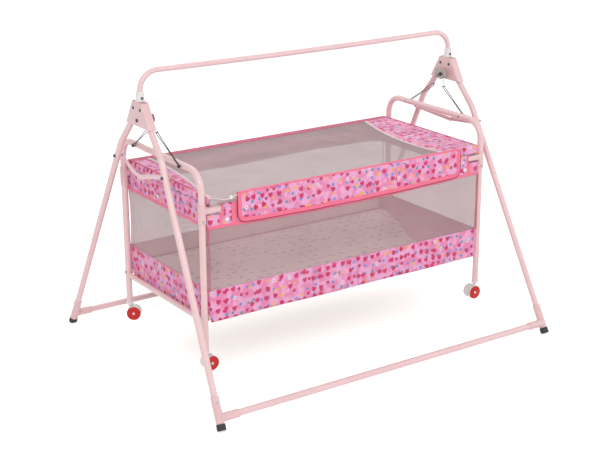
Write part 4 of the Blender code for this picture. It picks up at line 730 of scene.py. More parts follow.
for side_name, side, end_name, end in CORNERS:
    x_out = STAY_FACE if end_name == "front" else STAY_FACE - STAY_THICK - STAY_GAP
    x = side * (x_out - STAY_THICK / 2)
    outside = leg_axis(side, end, STAY_BOLT_Z)
    start, knuckle = np.array((x, outside[1], STAY_BOLT_Z)), np.array((x, *KNUCKLES[side_name]))
    share = np.linspace(-STAY_END_SHARE, 1 + STAY_END_SHARE, 60)[:, None]
    sag = np.cross((1, 0, 0), knuckle - start)
    sag *= -np.sign(sag[2]) / np.linalg.norm(sag)
    bow = STAY_BOWS.get((side_name, end_name), 0.0)
    line = start + share * (knuckle - start) + bow * np.sin(np.pi * share) * sag
    nose = np.minimum(share[:, 0] - share[0, 0], share[-1, 0] - share[:, 0]) * np.linalg.norm(knuckle - start)
    taper = np.sqrt(np.clip(1 - (1 - np.clip(nose / STAY_NOSE, 0, 1)) ** 2, 0.02, 1))
    section = flattened(STAY_THICK, STAY_WIDE, 0.6, 0.8, 28)
    half = STAY_THICK / 2
    away = side if end_name == "front" else -side
    stay = merged(
        f"folding_stay_{end_name}_{side_name}",
        carry("stay_strip", line, section, (1, 0, 0), PINK_TUBE, scale=taper),
        bolt_head("knuckle_rivet", knuckle + (away * half, 0, 0), (away, 0, 0), *KNUCKLE_RIVET),
        sleeve("stay_bolt_shank", start, outside + (side * STAY_SHANK_OUT, 0, 0), *PIN),
        bolt_head("stay_bolt_head", outside + (side * STAY_HEAD_OUT, 0, 0), (side, 0, 0), *STAY_HEAD),
        bolt_head("stay_bolt_nut", start - (side * half, 0, 0), (-side, 0, 0), *STAY_NUT),
    )
    fit(stay, f"{end_name}_stay_{side_name}", "pink_paint", f"stay_{end_name}_{side_name}")


# Hoops, corner brackets and rails
# The cradle's ends are upturned U hoops of the same tube with a thin welded rail between
# their legs. Clamps at the top corners hold the long top rails; two more rails carry the floor.
HOOP_FOOT, HOOP_BEND, HOOP_RAIL_Z = 0.128, 0.058, 0.217
TOP_RAIL_Z, FLOOR_RAIL_Z, TOP_RAIL_GAP, FLOOR_RAIL_GAP = 0.543, 0.226, 0.001, 0.0003
CLAMP, CLAMP_DROP, CLAMP_RISE, CLAMP_ARM = TUBE + 0.0003 + 0.0018, 0.038, 0.0195, 0.0565
CLAMP_BOLT_DROP, CLAMP_DOME_IN, BOLT_SEAT_SHARE = 0.029, 0.0195, 0.98
LINK_STEM_OUT, LINK_NUT_OUT, LINK_HEAD_SHARE = 0.0072, 0.0060, 0.96
LINK_NUT, LINK_HEAD = (0.0050, 0.0025, DARK_BOLT, 6, 0.3), (0.0046, 0.0030, BRIGHT_BOLT, 16, 0.55)
CLAMP_BOLT, CLAMP_DARK_DOME = (0.0050, 0.0022, BRIGHT_BOLT, 18, 0.5), (0.0030, 0.0016, DARK_BOLT, 14, 0.4)
RAIL_HEAD, RAIL_STEM_IN, RAIL_STEM_OUT = (0.0052, 0.0030, BRIGHT_BOLT, 6, 0.3), 0.004, 0.002

for side_name, side in SIDES.items():
    x = side * HOOP_X
    line = along(bent(
        ((x, -HOOP_Y, HOOP_FOOT), (x, -HOOP_Y, HOOP_TOP), (x, HOOP_Y, HOOP_TOP), (x, HOOP_Y, HOOP_FOOT)),
        (HOOP_BEND, HOOP_BEND), 18,
    ), BENT_SPACING)
    parts = [
        carry("hoop_tube", line, ring_section(TUBE), (1, 0, 0), PINK_TUBE),
        tube("hoop_rail", (x, -HOOP_Y, HOOP_RAIL_Z), (x, HOOP_Y, HOOP_RAIL_Z), THIN_TUBE, 16),
    ]
    for end in ENDS.values():
        y = end * LINK_BOLT_Y
        stem = (x + side * (TUBE + LINK_STEM_OUT), y, HOOP_TOP)
        nut = (x + side * (TUBE + LINK_NUT_OUT), y, HOOP_TOP)
        head = (x - side * TUBE * LINK_HEAD_SHARE, y, HOOP_TOP)
        parts += [
            sleeve("link_bolt_stem", (x, y, HOOP_TOP), stem, *PIN),
            bolt_head("link_bolt_nut", nut, (side, 0, 0), *LINK_NUT),
            bolt_head("link_bolt_head", head, (-side, 0, 0), *LINK_HEAD),
        ]
    fit(merged(f"bent_hoop_{side_name}", *parts), "cradle", "pink_paint", f"hoop_{side_name}")

for side_name, side, end_name, end in CORNERS:
    x, y, out = side * HOOP_X, end * HOOP_Y, CLAMP * BOLT_SEAT_SHARE
    lock = (x, y + end * out, TOP_RAIL_Z - CLAMP_BOLT_DROP)
    # A small dark dome stands on top of each clamp's arm, just inside the hoop.
    dome_seat = (side * (HOOP_X - CLAMP_DOME_IN), y, TOP_RAIL_Z + out)
    low, high = (x, y, TOP_RAIL_Z - CLAMP_DROP), (x, y, TOP_RAIL_Z + CLAMP_RISE)
    reach = (side * (HOOP_X - CLAMP_ARM), y, TOP_RAIL_Z)
    clamp = merged(
        f"corner_clamp_{end_name}_{side_name}",
        sleeve("clamp_stem", low, high, CLAMP, PINK_PLATE),
        sleeve("clamp_arm", reach, (x, y, TOP_RAIL_Z), CLAMP, PINK_PLATE),
        bolt_head("clamp_bolt", lock, (0, end, 0), *CLAMP_BOLT),
        bolt_head("clamp_dark_dome", dome_seat, (0, 0, 1), *CLAMP_DARK_DOME),
    )
    fit(clamp, "cradle", "pink_paint", f"rail_bracket_{end_name}_{side_name}")

for end_name, end in ENDS.items():
    y, reach = end * HOOP_Y, HOOP_X - TUBE - TOP_RAIL_GAP
    rail = tube(f"painted_top_rail_{end_name}", (-reach, y, TOP_RAIL_Z), (reach, y, TOP_RAIL_Z))
    fit(rail, "cradle", "pink_paint", f"top_rail_{end_name}")
    reach, outside = HOOP_X - TUBE - FLOOR_RAIL_GAP, HOOP_X + TUBE + FLOOR_RAIL_GAP
    parts = [tube("floor_rail_tube", (-reach, y, FLOOR_RAIL_Z), (reach, y, FLOOR_RAIL_Z), THIN_TUBE)]
    for side in SIDES.values():
        inner, outer = side * (reach - RAIL_STEM_IN), side * (outside + RAIL_STEM_OUT)
        parts += [
            sleeve("rail_bolt_stem", (inner, y, FLOOR_RAIL_Z), (outer, y, FLOOR_RAIL_Z), *PIN),
            bolt_head("rail_bolt_head", (side * outside, y, FLOOR_RAIL_Z), (side, 0, 0), *RAIL_HEAD),
        ]
    fit(merged(f"painted_floor_rail_{end_name}", *parts), "cradle", "pink_paint", f"floor_rail_{end_name}")


# Castors
# A white moulded castor plugs into each hoop foot: a collar and neck over a narrow hood, with
# two wheels on one axle. The wheels have white treads, red outer faces and a small pale hub.
WHEEL_Z, TRAIL, AXLE_HALF = 0.092, 0.012, 0.0155
CASTOR_TURNS = {"front_left": 0.0, "back_left": -34.0, "front_right": 180.0, "back_right": 0.0}
POST_PROFILE = (
    (0.1537, 0.0030), (0.1530, 0.0040), (0.1278, 0.0040), (0.1277, 0.0100), (0.1272, 0.0108),
    (0.1262, 0.0110), (0.1212, 0.0110), (0.1203, 0.0106), (0.1200, 0.0098), (0.1198, 0.0090),
    (0.1165, 0.0070), (0.1151, 0.0058), (0.1150, 0.0040),
)
HOOD_PROFILE = (
    (-0.0044, 0.0170), (-0.0044, 0.0194), (-0.0036, 0.0204),
    (0.0036, 0.0204), (0.0044, 0.0194), (0.0044, 0.0170),
)
TREAD_PROFILE = (
    (0.0048, 0.0035), (0.0048, 0.0196), (0.0050, 0.0208), (0.0058, 0.0217), (0.0070, 0.0220),
    (0.0142, 0.0220), (0.0148, 0.0217), (0.0150, 0.0210), (0.0150, 0.0194),
)
FACE_PROFILE = (
    (0.0120, 0.0190), (0.0146, 0.0200), (0.0151, 0.0217), (0.0157, 0.0217), (0.0163, 0.0211),
    (0.0165, 0.0202), (0.0163, 0.0192), (0.0156, 0.0184), (0.0155, 0.0085), (0.0160, 0.0074),
    (0.0164, 0.0068), (0.0165, 0.0060), (0.0165, 0.0040),
)
CAP_PROFILE = ((0.0150, 0.0040), (0.0168, 0.0040), (0.0174, 0.0036), (0.0177, 0.0026), (0.0177, 0.0008))
WEB_TOP_Z, WEB_FOOT_RISE, WEB_RADIUS, WEB_LIP = 0.1195, 0.004, 0.0039, 0.0008
RED_PLASTIC, tree, shader = new_finish("red_moulding", srgb(200, 16, 16), 0.42)
where = on_object(tree)
rub = ramped(tree, noise(tree, where, 240.0, 4.0), 0.45, 0.75, 0.0, 0.5)
finished(tree, shader, blended(tree, rub, srgb(204, 16, 16), srgb(160, 14, 16)),
         ramped(tree, rub, 0.0, 0.5, 0.40, 0.56), noise(tree, where, 700.0), 0.05, 0.0002)


def spun(name, profile, place, axis, side, finish, sides=48):
    """A turned piece: rings of (distance along the axis, radius) round an axis through a point."""
    profile, axis, side = np.array(profile, float), np.asarray(axis, float), np.asarray(side, float)
    line = np.asarray(place, float) + profile[:, :1] * axis
    turn = np.linspace(0, 2 * np.pi, sides, endpoint=False)
    across = np.cos(turn)[:, None] * side + np.sin(turn)[:, None] * np.cross(axis, side)
    points = line[:, None] + profile[:, 1, None, None] * across[None]
    return surface(name, points, finish, wrap=True, caps=True, angle=38)


for side_name, side, end_name, end in CORNERS:
    corner = f"{end_name}_{side_name}"
    angle = math.radians(CASTOR_TURNS[corner])
    trail = np.array((math.cos(angle), math.sin(angle), 0))
    axle = np.array((-math.sin(angle), math.cos(angle), 0))
    stem, up = np.array((side * HOOP_X, end * HOOP_Y, 0.0)), (0.0, 0.0, 1.0)
    hub = stem + TRAIL * trail + (0, 0, WHEEL_Z)
    web_top, web_foot = stem + (0, 0, WEB_TOP_Z), hub + (0, 0, WEB_FOOT_RISE)
    castor = merged(
        f"moulded_castor_{corner}",
        spun("castor_post", POST_PROFILE, stem, up, (1.0, 0.0, 0.0), WHITE_MOULDING, 40),
        spun("castor_hood", HOOD_PROFILE, hub, axle, up, WHITE_MOULDING),
        sleeve("castor_web", web_top, web_foot, WEB_RADIUS, WHITE_MOULDING, WEB_LIP),
    )
    fit(castor, f"castor_{corner}", "white_plastic", f"castor_body_{corner}")
    wheels = [sleeve("castor_axle", hub - AXLE_HALF * axle, hub + AXLE_HALF * axle, *PIN)]
    for way in (-1, 1):
        wheels += [
            spun("wheel_tread", TREAD_PROFILE, hub, way * axle, up, WHITE_MOULDING, 64),
            spun("wheel_face", FACE_PROFILE, hub, way * axle, up, RED_PLASTIC, 64),
            spun("hub_cap", CAP_PROFILE, hub, way * axle, up, WHITE_MOULDING, 28),
        ]
    fit(merged(f"turned_wheels_{corner}", *wheels), f"castor_wheels_{corner}", "castor_wheel_plastic",
        f"castor_wheels_{corner}")


# Printed cloth, binding tape and netting
# The cloth is a plain weave with a scattered print: hearts, dots, small flowers and white
# daisies on lilac pink. Edges are bound in hot pink tape; the walls and lid are diamond net.
SMALL_CELL, LARGE_CELL, NET_PITCH, CLOTH_PITCH = 0.0235, 0.0270, 0.0016, 0.0007


def split(tree, vector):
    """A vector's three numbers."""
    node = tree.nodes.new("ShaderNodeSeparateXYZ")
    plug(tree, node.inputs[0], vector)
    return node.outputs


def turned(tree, vector, angle):
    """A vector turned about Z."""
    node = tree.nodes.new("ShaderNodeVectorRotate")
    node.rotation_type = "Z_AXIS"
    plug(tree, node.inputs["Vector"], vector)
    plug(tree, node.inputs["Angle"], angle)
    return node.outputs["Vector"]


def motif_cell():
    """Square cells, each with its own random numbers and a jittered, turned place for one motif."""
    tree, given, made = shader_group(
        "motif_cell",
        (("UV", "Vector", None), ("Size", "Float", 0.022), ("Seed", "Float", 0.0)),
        (("Local", "Vector"), ("Random", "Vector")),
    )
    shift = vectors(tree, "SCALE", (0.37, 0.61, 0.0), scale=given["Seed"])
    shifted = vectors(tree, "ADD", given["UV"], shift)
    units = vectors(tree, "SCALE", shifted, scale=maths(tree, "DIVIDE", 1.0, given["Size"]))
    cell = vectors(tree, "FLOOR", units)
    dice = tree.nodes.new("ShaderNodeTexWhiteNoise")
    dice.noise_dimensions = "4D"
    plug(tree, dice.inputs["Vector"], cell)
    plug(tree, dice.inputs["W"], given["Seed"])
    inside = vectors(tree, "SUBTRACT", vectors(tree, "SUBTRACT", units, cell), (0.5, 0.5, 0.0))
    throw = vectors(tree, "SUBTRACT", dice.outputs["Color"], (0.5, 0.5, 0.0))
    jitter = vectors(tree, "SCALE", throw, scale=0.36)
    local = vectors(tree, "SCALE", vectors(tree, "SUBTRACT", inside, jitter), scale=given["Size"])
    angle = maths(tree, "MULTIPLY_ADD", dice.outputs["Value"], 1.5, -0.75)
    plug(tree, made["Local"], turned(tree, vectors(tree, "MULTIPLY", local, (1, 1, 0)), angle))
    plug(tree, made["Random"], dice.outputs["Color"])
    return tree


def heart(tree, local, size):
    """One inside a heart about twice the size across, where (x2 + y2 - 1) cubed is below x2 y3."""
    x, y = (maths(tree, "DIVIDE", part, size) for part in split(tree, local)[:2])
    xx, yy = maths(tree, "MULTIPLY", x, x), maths(tree, "MULTIPLY", y, y)
    disc = maths(tree, "SUBTRACT", maths(tree, "ADD", xx, yy), 1.0)
    cube = maths(tree, "MULTIPLY", disc, maths(tree, "MULTIPLY", disc, disc))
    notch = maths(tree, "MULTIPLY", xx, maths(tree, "MULTIPLY", y, yy))
    return ramped(tree, maths(tree, "SUBTRACT", cube, notch), -0.10, 0.10, 1.0, 0.0)


def petals(tree, local, radius, count, depth):
    """One inside a flower, whose radius falls and swells by a cosine with so many petals."""
    x, y = split(tree, local)[:2]
    turn = maths(tree, "MULTIPLY", maths(tree, "ARCTAN2", y, x), float(count))
    reach = maths(tree, "MULTIPLY_ADD", maths(tree, "COSINE", turn), depth * radius, (1 - depth) * radius)
    distance = vectors(tree, "LENGTH", local)
    return ramped(tree, maths(tree, "SUBTRACT", distance, reach), -0.0004, 0.0004, 1.0, 0.0)


def disc(tree, local, radius):
    """One inside a circle, where the distance from its middle is below the radius."""
    past = maths(tree, "SUBTRACT", vectors(tree, "LENGTH", local), radius)
    return ramped(tree, past, -0.0003, 0.0003, 1.0, 0.0)


def chance(tree, value, low, high):
    """One where a random value lies between two limits."""
    above = maths(tree, "GREATER_THAN", value, low)
    return maths(tree, "MULTIPLY", above, maths(tree, "LESS_THAN", value, high))


def crossed(tree, uv, pitch, wave):
    """Two sets of threads, each the size of a sine or cosine with one thread to the pitch."""
    across, upward = split(tree, vectors(tree, "SCALE", uv, scale=maths(tree, "DIVIDE", math.pi, pitch)))[:2]
    return [maths(tree, "ABSOLUTE", maths(tree, wave, part)) for part in (across, upward)]


def plain_weave():
    """Threads over and under: one set's height times the other's."""
    tree, given, made = shader_group("plain_weave", (("UV", "Vector", None), ("Pitch", "Float", 0.0007)),
                                     (("Height", "Float"),))
    plug(tree, made["Height"], maths(tree, "MULTIPLY", *crossed(tree, given["UV"], given["Pitch"], "SINE")))
    return tree


def scattered_print():
    """Patches of two pinks under small and large motifs, each picked by its cell's random number."""
    tree, given, made = shader_group(
        "scattered_print", (("UV", "Vector", None),), (("Colour", "Color"), ("Fade", "Float")),
    )
    uv = given["UV"]
    small = placed(tree, MOTIF_CELL, UV=uv, Size=SMALL_CELL, Seed=3.0)
    large = placed(tree, MOTIF_CELL, UV=uv, Size=LARGE_CELL, Seed=11.0)
    small_pick, large_pick = split(tree, small["Random"]), split(tree, large["Random"])
    small, large = small["Local"], large["Local"]
    reds = blended(tree, large_pick[0], srgb(222, 30, 110), srgb(196, 24, 78))
    layers = (
        (small_pick, 0.00, 0.22, heart(tree, small, 0.0062), srgb(252, 176, 210)),
        (small_pick, 0.22, 0.44, petals(tree, small, 0.0062, 5, 0.18), srgb(128, 152, 216)),
        (small_pick, 0.44, 0.64, petals(tree, small, 0.0060, 5, 0.18), srgb(98, 158, 180)),
        (small_pick, 0.22, 0.64, disc(tree, small, 0.0016), srgb(90, 116, 176)),
        (small_pick, 0.66, 0.78, petals(tree, small, 0.0052, 6, 0.12), srgb(248, 178, 84)),
        (small_pick, 0.78, 1.00, heart(tree, small, 0.0050), srgb(196, 40, 104)),
        (large_pick, 0.00, 0.56, heart(tree, large, 0.0070), reds),
        (large_pick, 0.60, 0.72, petals(tree, large, 0.0074, 8, 0.25), srgb(248, 238, 244)),
        (large_pick, 0.60, 0.72, disc(tree, large, 0.0024), srgb(226, 84, 120)),
        (large_pick, 0.74, 0.86, petals(tree, large, 0.0060, 6, 0.12), srgb(248, 182, 80)),
    )
    patches = ramped(tree, noise(tree, uv, 34.0, 1.0), 0.42, 0.58)
    colour = blended(tree, patches, srgb(238, 138, 184), srgb(242, 174, 216))
    for pick, low, high, motif, paint in layers:
        shown = maths(tree, "MULTIPLY", motif, chance(tree, pick[2], low, high))
        colour = blended(tree, shown, colour, paint)
    plug(tree, made["Colour"], colour)
    plug(tree, made["Fade"], noise(tree, uv, 12.0, 3.0))
    return tree


def net_mesh():
    """Diamond net: the nearer of two crossed sets of threads, over a haze for its holes."""
    tree, given, made = shader_group(
        "net_mesh", (("UV", "Vector", None), ("Pitch", "Float", 0.0016), ("Haze", "Float", 0.3)),
        (("Alpha", "Float"), ("Height", "Float")),
    )
    diagonal = turned(tree, given["UV"], math.radians(45))
    threads = maths(tree, "MAXIMUM", *crossed(tree, diagonal, given["Pitch"], "COSINE"))
    strand = ramped(tree, threads, 0.88, 0.96)
    thick = maths(tree, "SUBTRACT", 0.95, given["Haze"])
    plug(tree, made["Alpha"], maths(tree, "MULTIPLY_ADD", strand, thick, given["Haze"]))
    plug(tree, made["Height"], strand)
    return tree


MOTIF_CELL = motif_cell()
WEAVE = plain_weave()
PRINT = scattered_print()
NET_MESH = net_mesh()


def on_cloth(tree):
    """The cloth's own map, in metres across it."""
    return tree.nodes.new("ShaderNodeUVMap").outputs["UV"]


def weave_of(tree, uv, pitch):
    """The height of the cloth's threads."""
    return placed(tree, WEAVE, UV=uv, Pitch=pitch)["Height"]


def woven(name, colour, roughness, pitch):
    """Woven cloth in one colour: thread bump, soft sheen and a slow change of tone."""
    finish, tree, shader = new_finish(name, colour, roughness, Sheen_Weight=0.25, Sheen_Roughness=0.5)
    flat = on_cloth(tree)
    cloud = noise(tree, flat, 22.0, 3.0)
    tone = blended(tree, ramped(tree, cloud, 0.3, 0.75, 0.0, 0.24), colour, darker(colour, 0.72))
    rough = ramped(tree, cloud, 0.2, 0.8, roughness - 0.08, roughness + 0.08)
    finished(tree, shader, tone, rough, weave_of(tree, flat, pitch), 0.35, 0.0003)
    return finish


BINDING = woven("hot_pink_binding", srgb(250, 118, 150), 0.62, 0.0009)
ROSE_EDGE = woven("rose_edge_cloth", srgb(206, 72, 112), 0.66, 0.0009)
# Dark rose cord: painted shade, a dark line laid round the flap's rim to stand for its shadow line.
SHADOW_LINE_CORD = woven("shadow_line_cord", srgb(168, 38, 78), 0.66, 0.0009)
WRONG_SIDE = woven("cloth_wrong_side", srgb(214, 142, 162), 0.80, 0.0008)
LINING = woven("pale_lining", srgb(236, 204, 207), 0.80, 0.0008)
PIPING = woven("pink_piping_cloth", srgb(214, 98, 134), 0.70, 0.0009)
TAPE = woven("pale_tape", srgb(236, 214, 217), 0.75, 0.0008)

PRINTED_CLOTH, tree, shader = new_finish("printed_weave", srgb(224, 130, 176), 0.72, Sheen_Weight=0.2,
                                         Sheen_Roughness=0.5)
flat = on_cloth(tree)
motifs = placed(tree, PRINT, UV=flat)
worn = blended(tree, ramped(tree, motifs["Fade"], 0.3, 0.8, 0.0, 0.16), motifs["Colour"], srgb(214, 150, 170))
finished(tree, shader, worn, ramped(tree, motifs["Fade"], 0.2, 0.8, 0.64, 0.80),
         weave_of(tree, flat, CLOTH_PITCH), 0.35, 0.0003)


def netting(name, colour, haze):
    """Fine diamond net: crossed threads with hazy holes that let most of a lamp's light through."""
    finish, tree, shader = new_finish(name, colour, 0.8, Sheen_Weight=0.2)
    flat = on_cloth(tree)
    net = placed(tree, NET_MESH, UV=flat, Pitch=NET_PITCH, Haze=haze)
    path = tree.nodes.new("ShaderNodeLightPath")
    passing = maths(tree, "MULTIPLY_ADD", path.outputs["Is Shadow Ray"], -0.7, 1.0)
    plug(tree, shader.inputs["Alpha"], maths(tree, "MULTIPLY", net["Alpha"], passing))
    cloud = noise(tree, flat, 9.0, 3.0)
    tone = blended(tree, ramped(tree, cloud, 0.35, 0.7, 0.0, 0.5), colour, darker(colour, 0.80))
    finished(tree, shader, tone, ramped(tree, cloud, 0.2, 0.8, 0.72, 0.88), net["Height"], 0.2, 0.0003)
    return finish


WALL_NET = netting("wall_net", srgb(196, 166, 170), 0.34)
LID_NET = netting("lid_net", srgb(192, 168, 171), 0.50)


# Basket plan and upper band
# The basket is a long box with tight corners. Its printed upper band wraps over the top rails
# between notches for the corner clamps, and its foot and the notches are bound in tape.
BASKET_X, BASKET_Y, BASKET_CORNER = 0.491, 0.2455, 0.006
BAND_TOP, NOTCH_Z, NOTCH_X, NOTCH_Y = 0.5575, 0.5305, 0.4466, 0.2206
BAND_FOOT, BAND_DROOP, BAND_FOLD_Z, BAND_FOLD = 0.490, 0.0095, 0.5515, 0.006
BAND_SHELF, BAND_DEPTH = 0.018, 0.024
BAND_HEM_Z, BAND_CLOTH, BAND_PROUD = ((0.540,), (0.5300,)), 0.0014, 0.0001
NOTCH_TUCKS = np.array((0.003, 0.007, 0.011))[:, None]
BAND_TAPE_WIDE, BAND_TAPE_THICK, BAND_TAPE_RISE, NOTCH_TAPE_THICK = 0.0090, 0.0022, 0.0042, 0.0020
NOTCH_TAPES = ((0.4515, 0.0080, 0.4945, 0.5295), (0.4440, 0.0055, 0.5200, 0.5560))
WIDE_TAPE_X, WIDE_TAPE, WIDE_TAPE_FOOT, WIDE_TAPE_HEAD = -0.4065, 0.0170, 0.4945, 0.5560
END_MIDDLE = BASKET_X + BASKET_Y - (2 - math.pi / 2) * BASKET_CORNER
plan = along(bent(
    ((0, -BASKET_Y, 0), (BASKET_X, -BASKET_Y, 0), (BASKET_X, BASKET_Y, 0), (-BASKET_X, BASKET_Y, 0),
     (-BASKET_X, -BASKET_Y, 0), (0, -BASKET_Y, 0)), (BASKET_CORNER,) * 4, 8,
), 0.02)
plan_run = run_along(plan)
AROUND = plan_run[-1]
WAVES = 2 * math.pi / AROUND


def basket_plan(u):
    """The plan point and outward direction at a run round the basket, from the front's middle.

    The outward direction is the tangent between two near points, turned by a right angle.
    """
    spots = [joined(*(np.interp(u + step, plan_run, plan[:, k], period=AROUND) for k in (0, 1)))
             for step in (-0.0005, 0.0, 0.0005)]
    tangent = spots[2] - spots[0]
    tangent /= np.linalg.norm(tangent, axis=-1, keepdims=True)
    return spots[1], joined(tangent[..., 1], -tangent[..., 0])


def basket_points(u, inset, z):
    """Points of a wall: the plan at each run, moved in by the inset and up to the height."""
    spot, outward = basket_plan(u)
    inset, z, _ = np.broadcast_arrays(inset, z, u[None])
    return np.concatenate((spot[None] - inset[..., None] * outward[None], z[..., None]), axis=-1)


def thicken(piece, thickness):
    """Gives a printed cloth its thickness and its plain wrong side."""
    if WRONG_SIDE.name not in piece.data.materials:
        piece.data.materials.append(WRONG_SIDE)
    wall = piece.modifiers.new("cloth", "SOLIDIFY")
    wall.thickness = thickness
    wall.offset = -1.0
    wall.material_offset = 1
    return piece


def band_foot(u):
    """The upper band's lower edge: level at the ends, drooping in front and cut higher behind.

    The droop is a parabola, and the higher edge behind waves a little as a sine.
    """
    x = (u + AROUND / 4) % (AROUND / 2) - AROUND / 4
    behind = np.clip((BASKET_X - np.abs(u % AROUND - AROUND / 2)) / 0.06, 0, 1)
    rise = 0.0125 + 0.0025 * np.sin(11 * u)
    return BAND_FOOT - BAND_DROOP * np.clip(1 - (x / 0.45) ** 2, 0, 1) * (1 - behind) + rise * behind


def ripple(u, z):
    """Two small waves that repeat a whole number of times round the basket."""
    return 0.0004 * np.sin(15 * WAVES * u + 9 * z) + 0.0003 * np.sin(31 * WAVES * u - 14 * z + 1.3)


def tape_section(width, thick):
    """A flat tape's cross-section with rounded edges: thin to the side, wide upwards."""
    return flattened(thick, width, 0.5, 0.5, 24)


sections = []
share, turn = np.linspace(0, 1, 12)[:, None], np.linspace(0, np.pi / 2, 6)[1:, None]
for index, (half, next_half, count) in enumerate(((NOTCH_X, NOTCH_Y, 160), (NOTCH_Y, NOTCH_X, 80)) * 2):
    middle = index * END_MIDDLE
    u = np.linspace(middle - half, middle + half, count)
    low = band_foot(u)[None] + share * (BAND_FOLD_Z - band_foot(u))[None]
    points = np.concatenate((
        basket_points(u, -ripple(u[None], low) * np.sin(np.pi * share), low),
        basket_points(u, BAND_FOLD - BAND_FOLD * np.cos(turn), BAND_FOLD_Z + BAND_FOLD * np.sin(turn)),
        basket_points(u, BAND_SHELF, BAND_TOP),
        basket_points(u, BAND_SHELF + BAND_FOLD * np.sin(turn), BAND_FOLD_Z + BAND_FOLD * np.cos(turn)),
        basket_points(u, BAND_DEPTH, np.array(BAND_HEM_Z)),
    ))
    uv = joined(u, run_along(points[:, count // 2])[:, None] + BAND_FOOT)
    run = surface("band_run", points, PRINTED_CLOTH, uv)
    run.data.materials.append(WRONG_SIDE)
    inner_rows = np.arange(len(points) - 1) >= len(points) - 7
    run.data.polygons.foreach_set("material_index", np.repeat(inner_rows, count - 1).astype(np.int32))
    u = np.linspace(middle + half, END_MIDDLE * (index + 1) - next_half, 26)
    low = band_foot(u)[None] + np.linspace(0, 1, 8)[:, None] * (NOTCH_Z - band_foot(u))[None]
    tuck = NOTCH_TUCKS * np.ones(26)
    points = basket_points(u, np.concatenate((0 * low, tuck)), np.concatenate((low, NOTCH_Z - 0.08 * tuck)))
    uv = joined(u, np.concatenate((low, NOTCH_Z + tuck)))
    sections += [run, surface("band_corner", points, PRINTED_CLOTH, uv)]
upper_band = merged("printed_upper_band", *sections)

loop_run = np.linspace(0, AROUND, 420, endpoint=False)
edge_line = basket_points(loop_run, -BAND_PROUD, band_foot(loop_run) + BAND_TAPE_RISE)[0]
outward = np.column_stack((basket_plan(loop_run)[1], np.zeros(len(loop_run))))
section = tape_section(BAND_TAPE_WIDE, BAND_TAPE_THICK)[None]
points = edge_line[:, None] + outward[:, None] * section[..., :1] + np.array((0, 0, 1.0)) * section[..., 1:]
around = np.linspace(0, 0.02, section.shape[1] + 1)
uv = np.stack(np.meshgrid(np.append(loop_run, AROUND), around, indexing="ij"), -1)
band_edge = surface("bound_band_foot", points, BINDING, uv, wrap=True, loop=True)


def notch_tape(x, y, wide, low, high):
    """An upright binding tape on the band's face."""
    section = tape_section(wide, NOTCH_TAPE_THICK)
    return carry("notch_tape", straight((x, y, low), (x, y, high), 8), section, (0, 1, 0), BINDING)


tapes = [notch_tape(side * x, end * (BASKET_Y + BAND_PROUD), wide, low, high)
         for _, side, _, end in CORNERS for x, wide, low, high in NOTCH_TAPES]
tapes.append(notch_tape(WIDE_TAPE_X, -BASKET_Y - 2 * BAND_PROUD, WIDE_TAPE, WIDE_TAPE_FOOT, WIDE_TAPE_HEAD))
notch_binding = merged("notch_binding", *tapes)
fit(thicken(upper_band, BAND_CLOTH), "cradle", "printed_cloth", "upper_band")
fit(band_edge, "cradle", "printed_cloth")
fit(notch_binding, "cradle", "printed_cloth")


# Lower band, net walls and back lining
# A second printed band stands round the mattress and dips between the hoops and rails. Slack
# net walls are sewn between the bands, with piped corners, and pale lining hangs at the back.
LOWER_FOOT, LOWER_TOP, OVER_RAIL_FOOT = 0.2155, 0.3095, 0.2356
RAIL_X, RAIL_Y_NEAR, RAIL_Y_FAR = 0.4860, 0.2230, 0.2432
CORNER_SPREAD, CORNER_BACK = 0.016, 0.012
NET_INSET, NET_SLACK, NET_BULGE, NET_BULGE_U, NET_FOLD = 0.0020, 0.0030, 0.009, -0.44, 0.0011
NET_SEAM, PIPE_RADIUS, PIPE_HEAD = 0.004, 0.0016, 0.4925
LINING_LONG, LINING_FOOT, LINING_SEAM = 0.948, 0.2570, 0.0006


def round_sheet(name, u, inset, z, finish):
    """A sheet that runs once round the basket, with its last column on its first."""
    points = basket_points(u, inset, z)
    points = np.concatenate((points, points[:, :1]), axis=1)
    return surface(name, points, finish, joined(np.append(u, u[0] + AROUND), points[..., 2]))


corner_middles = [END_MIDDLE * end + way * (BASKET_Y - CORNER_BACK) for end in (-1, 1) for way in (-1, 1)]
corner_runs = [middle + np.linspace(-CORNER_SPREAD, CORNER_SPREAD, 33) for middle in corner_middles]
u = np.unique(np.concatenate((np.linspace(-AROUND / 2, AROUND / 2, 480, endpoint=False), *corner_runs)))
x, y = np.abs(basket_plan(u)[0]).T
by_rail = (x > RAIL_X) & (y > RAIL_Y_NEAR) & (y < RAIL_Y_FAR)
foot = np.where(by_rail, OVER_RAIL_FOOT, LOWER_FOOT + 0.0008 * np.sin(8 * WAVES * u))
share = np.linspace(0, 1, 14)[:, None]
z = foot[None] + share * (LOWER_TOP - foot)[None]
inset = -1.2 * ripple(u[None], z) * np.sin(np.pi * share) ** 0.7
lower_band = round_sheet("printed_lower_band", u, inset, z, PRINTED_CLOTH)
fit(thicken(lower_band, BAND_CLOTH), "cradle", "printed_cloth", "lower_band")

run = np.linspace(AROUND / 2 - LINING_LONG / 2, AROUND / 2 + LINING_LONG / 2, 120)
z = np.linspace(LINING_FOOT, LOWER_TOP - LINING_SEAM, 8)[:, None] * np.ones(120)
points = basket_points(run, 0.0032 + 0.0008 * np.sin(29 * run + 40 * z), z)[:, ::-1]
back_lining = surface("back_lining", points, LINING, joined(points[..., 0], z))
fit(back_lining, "cradle", "printed_cloth")

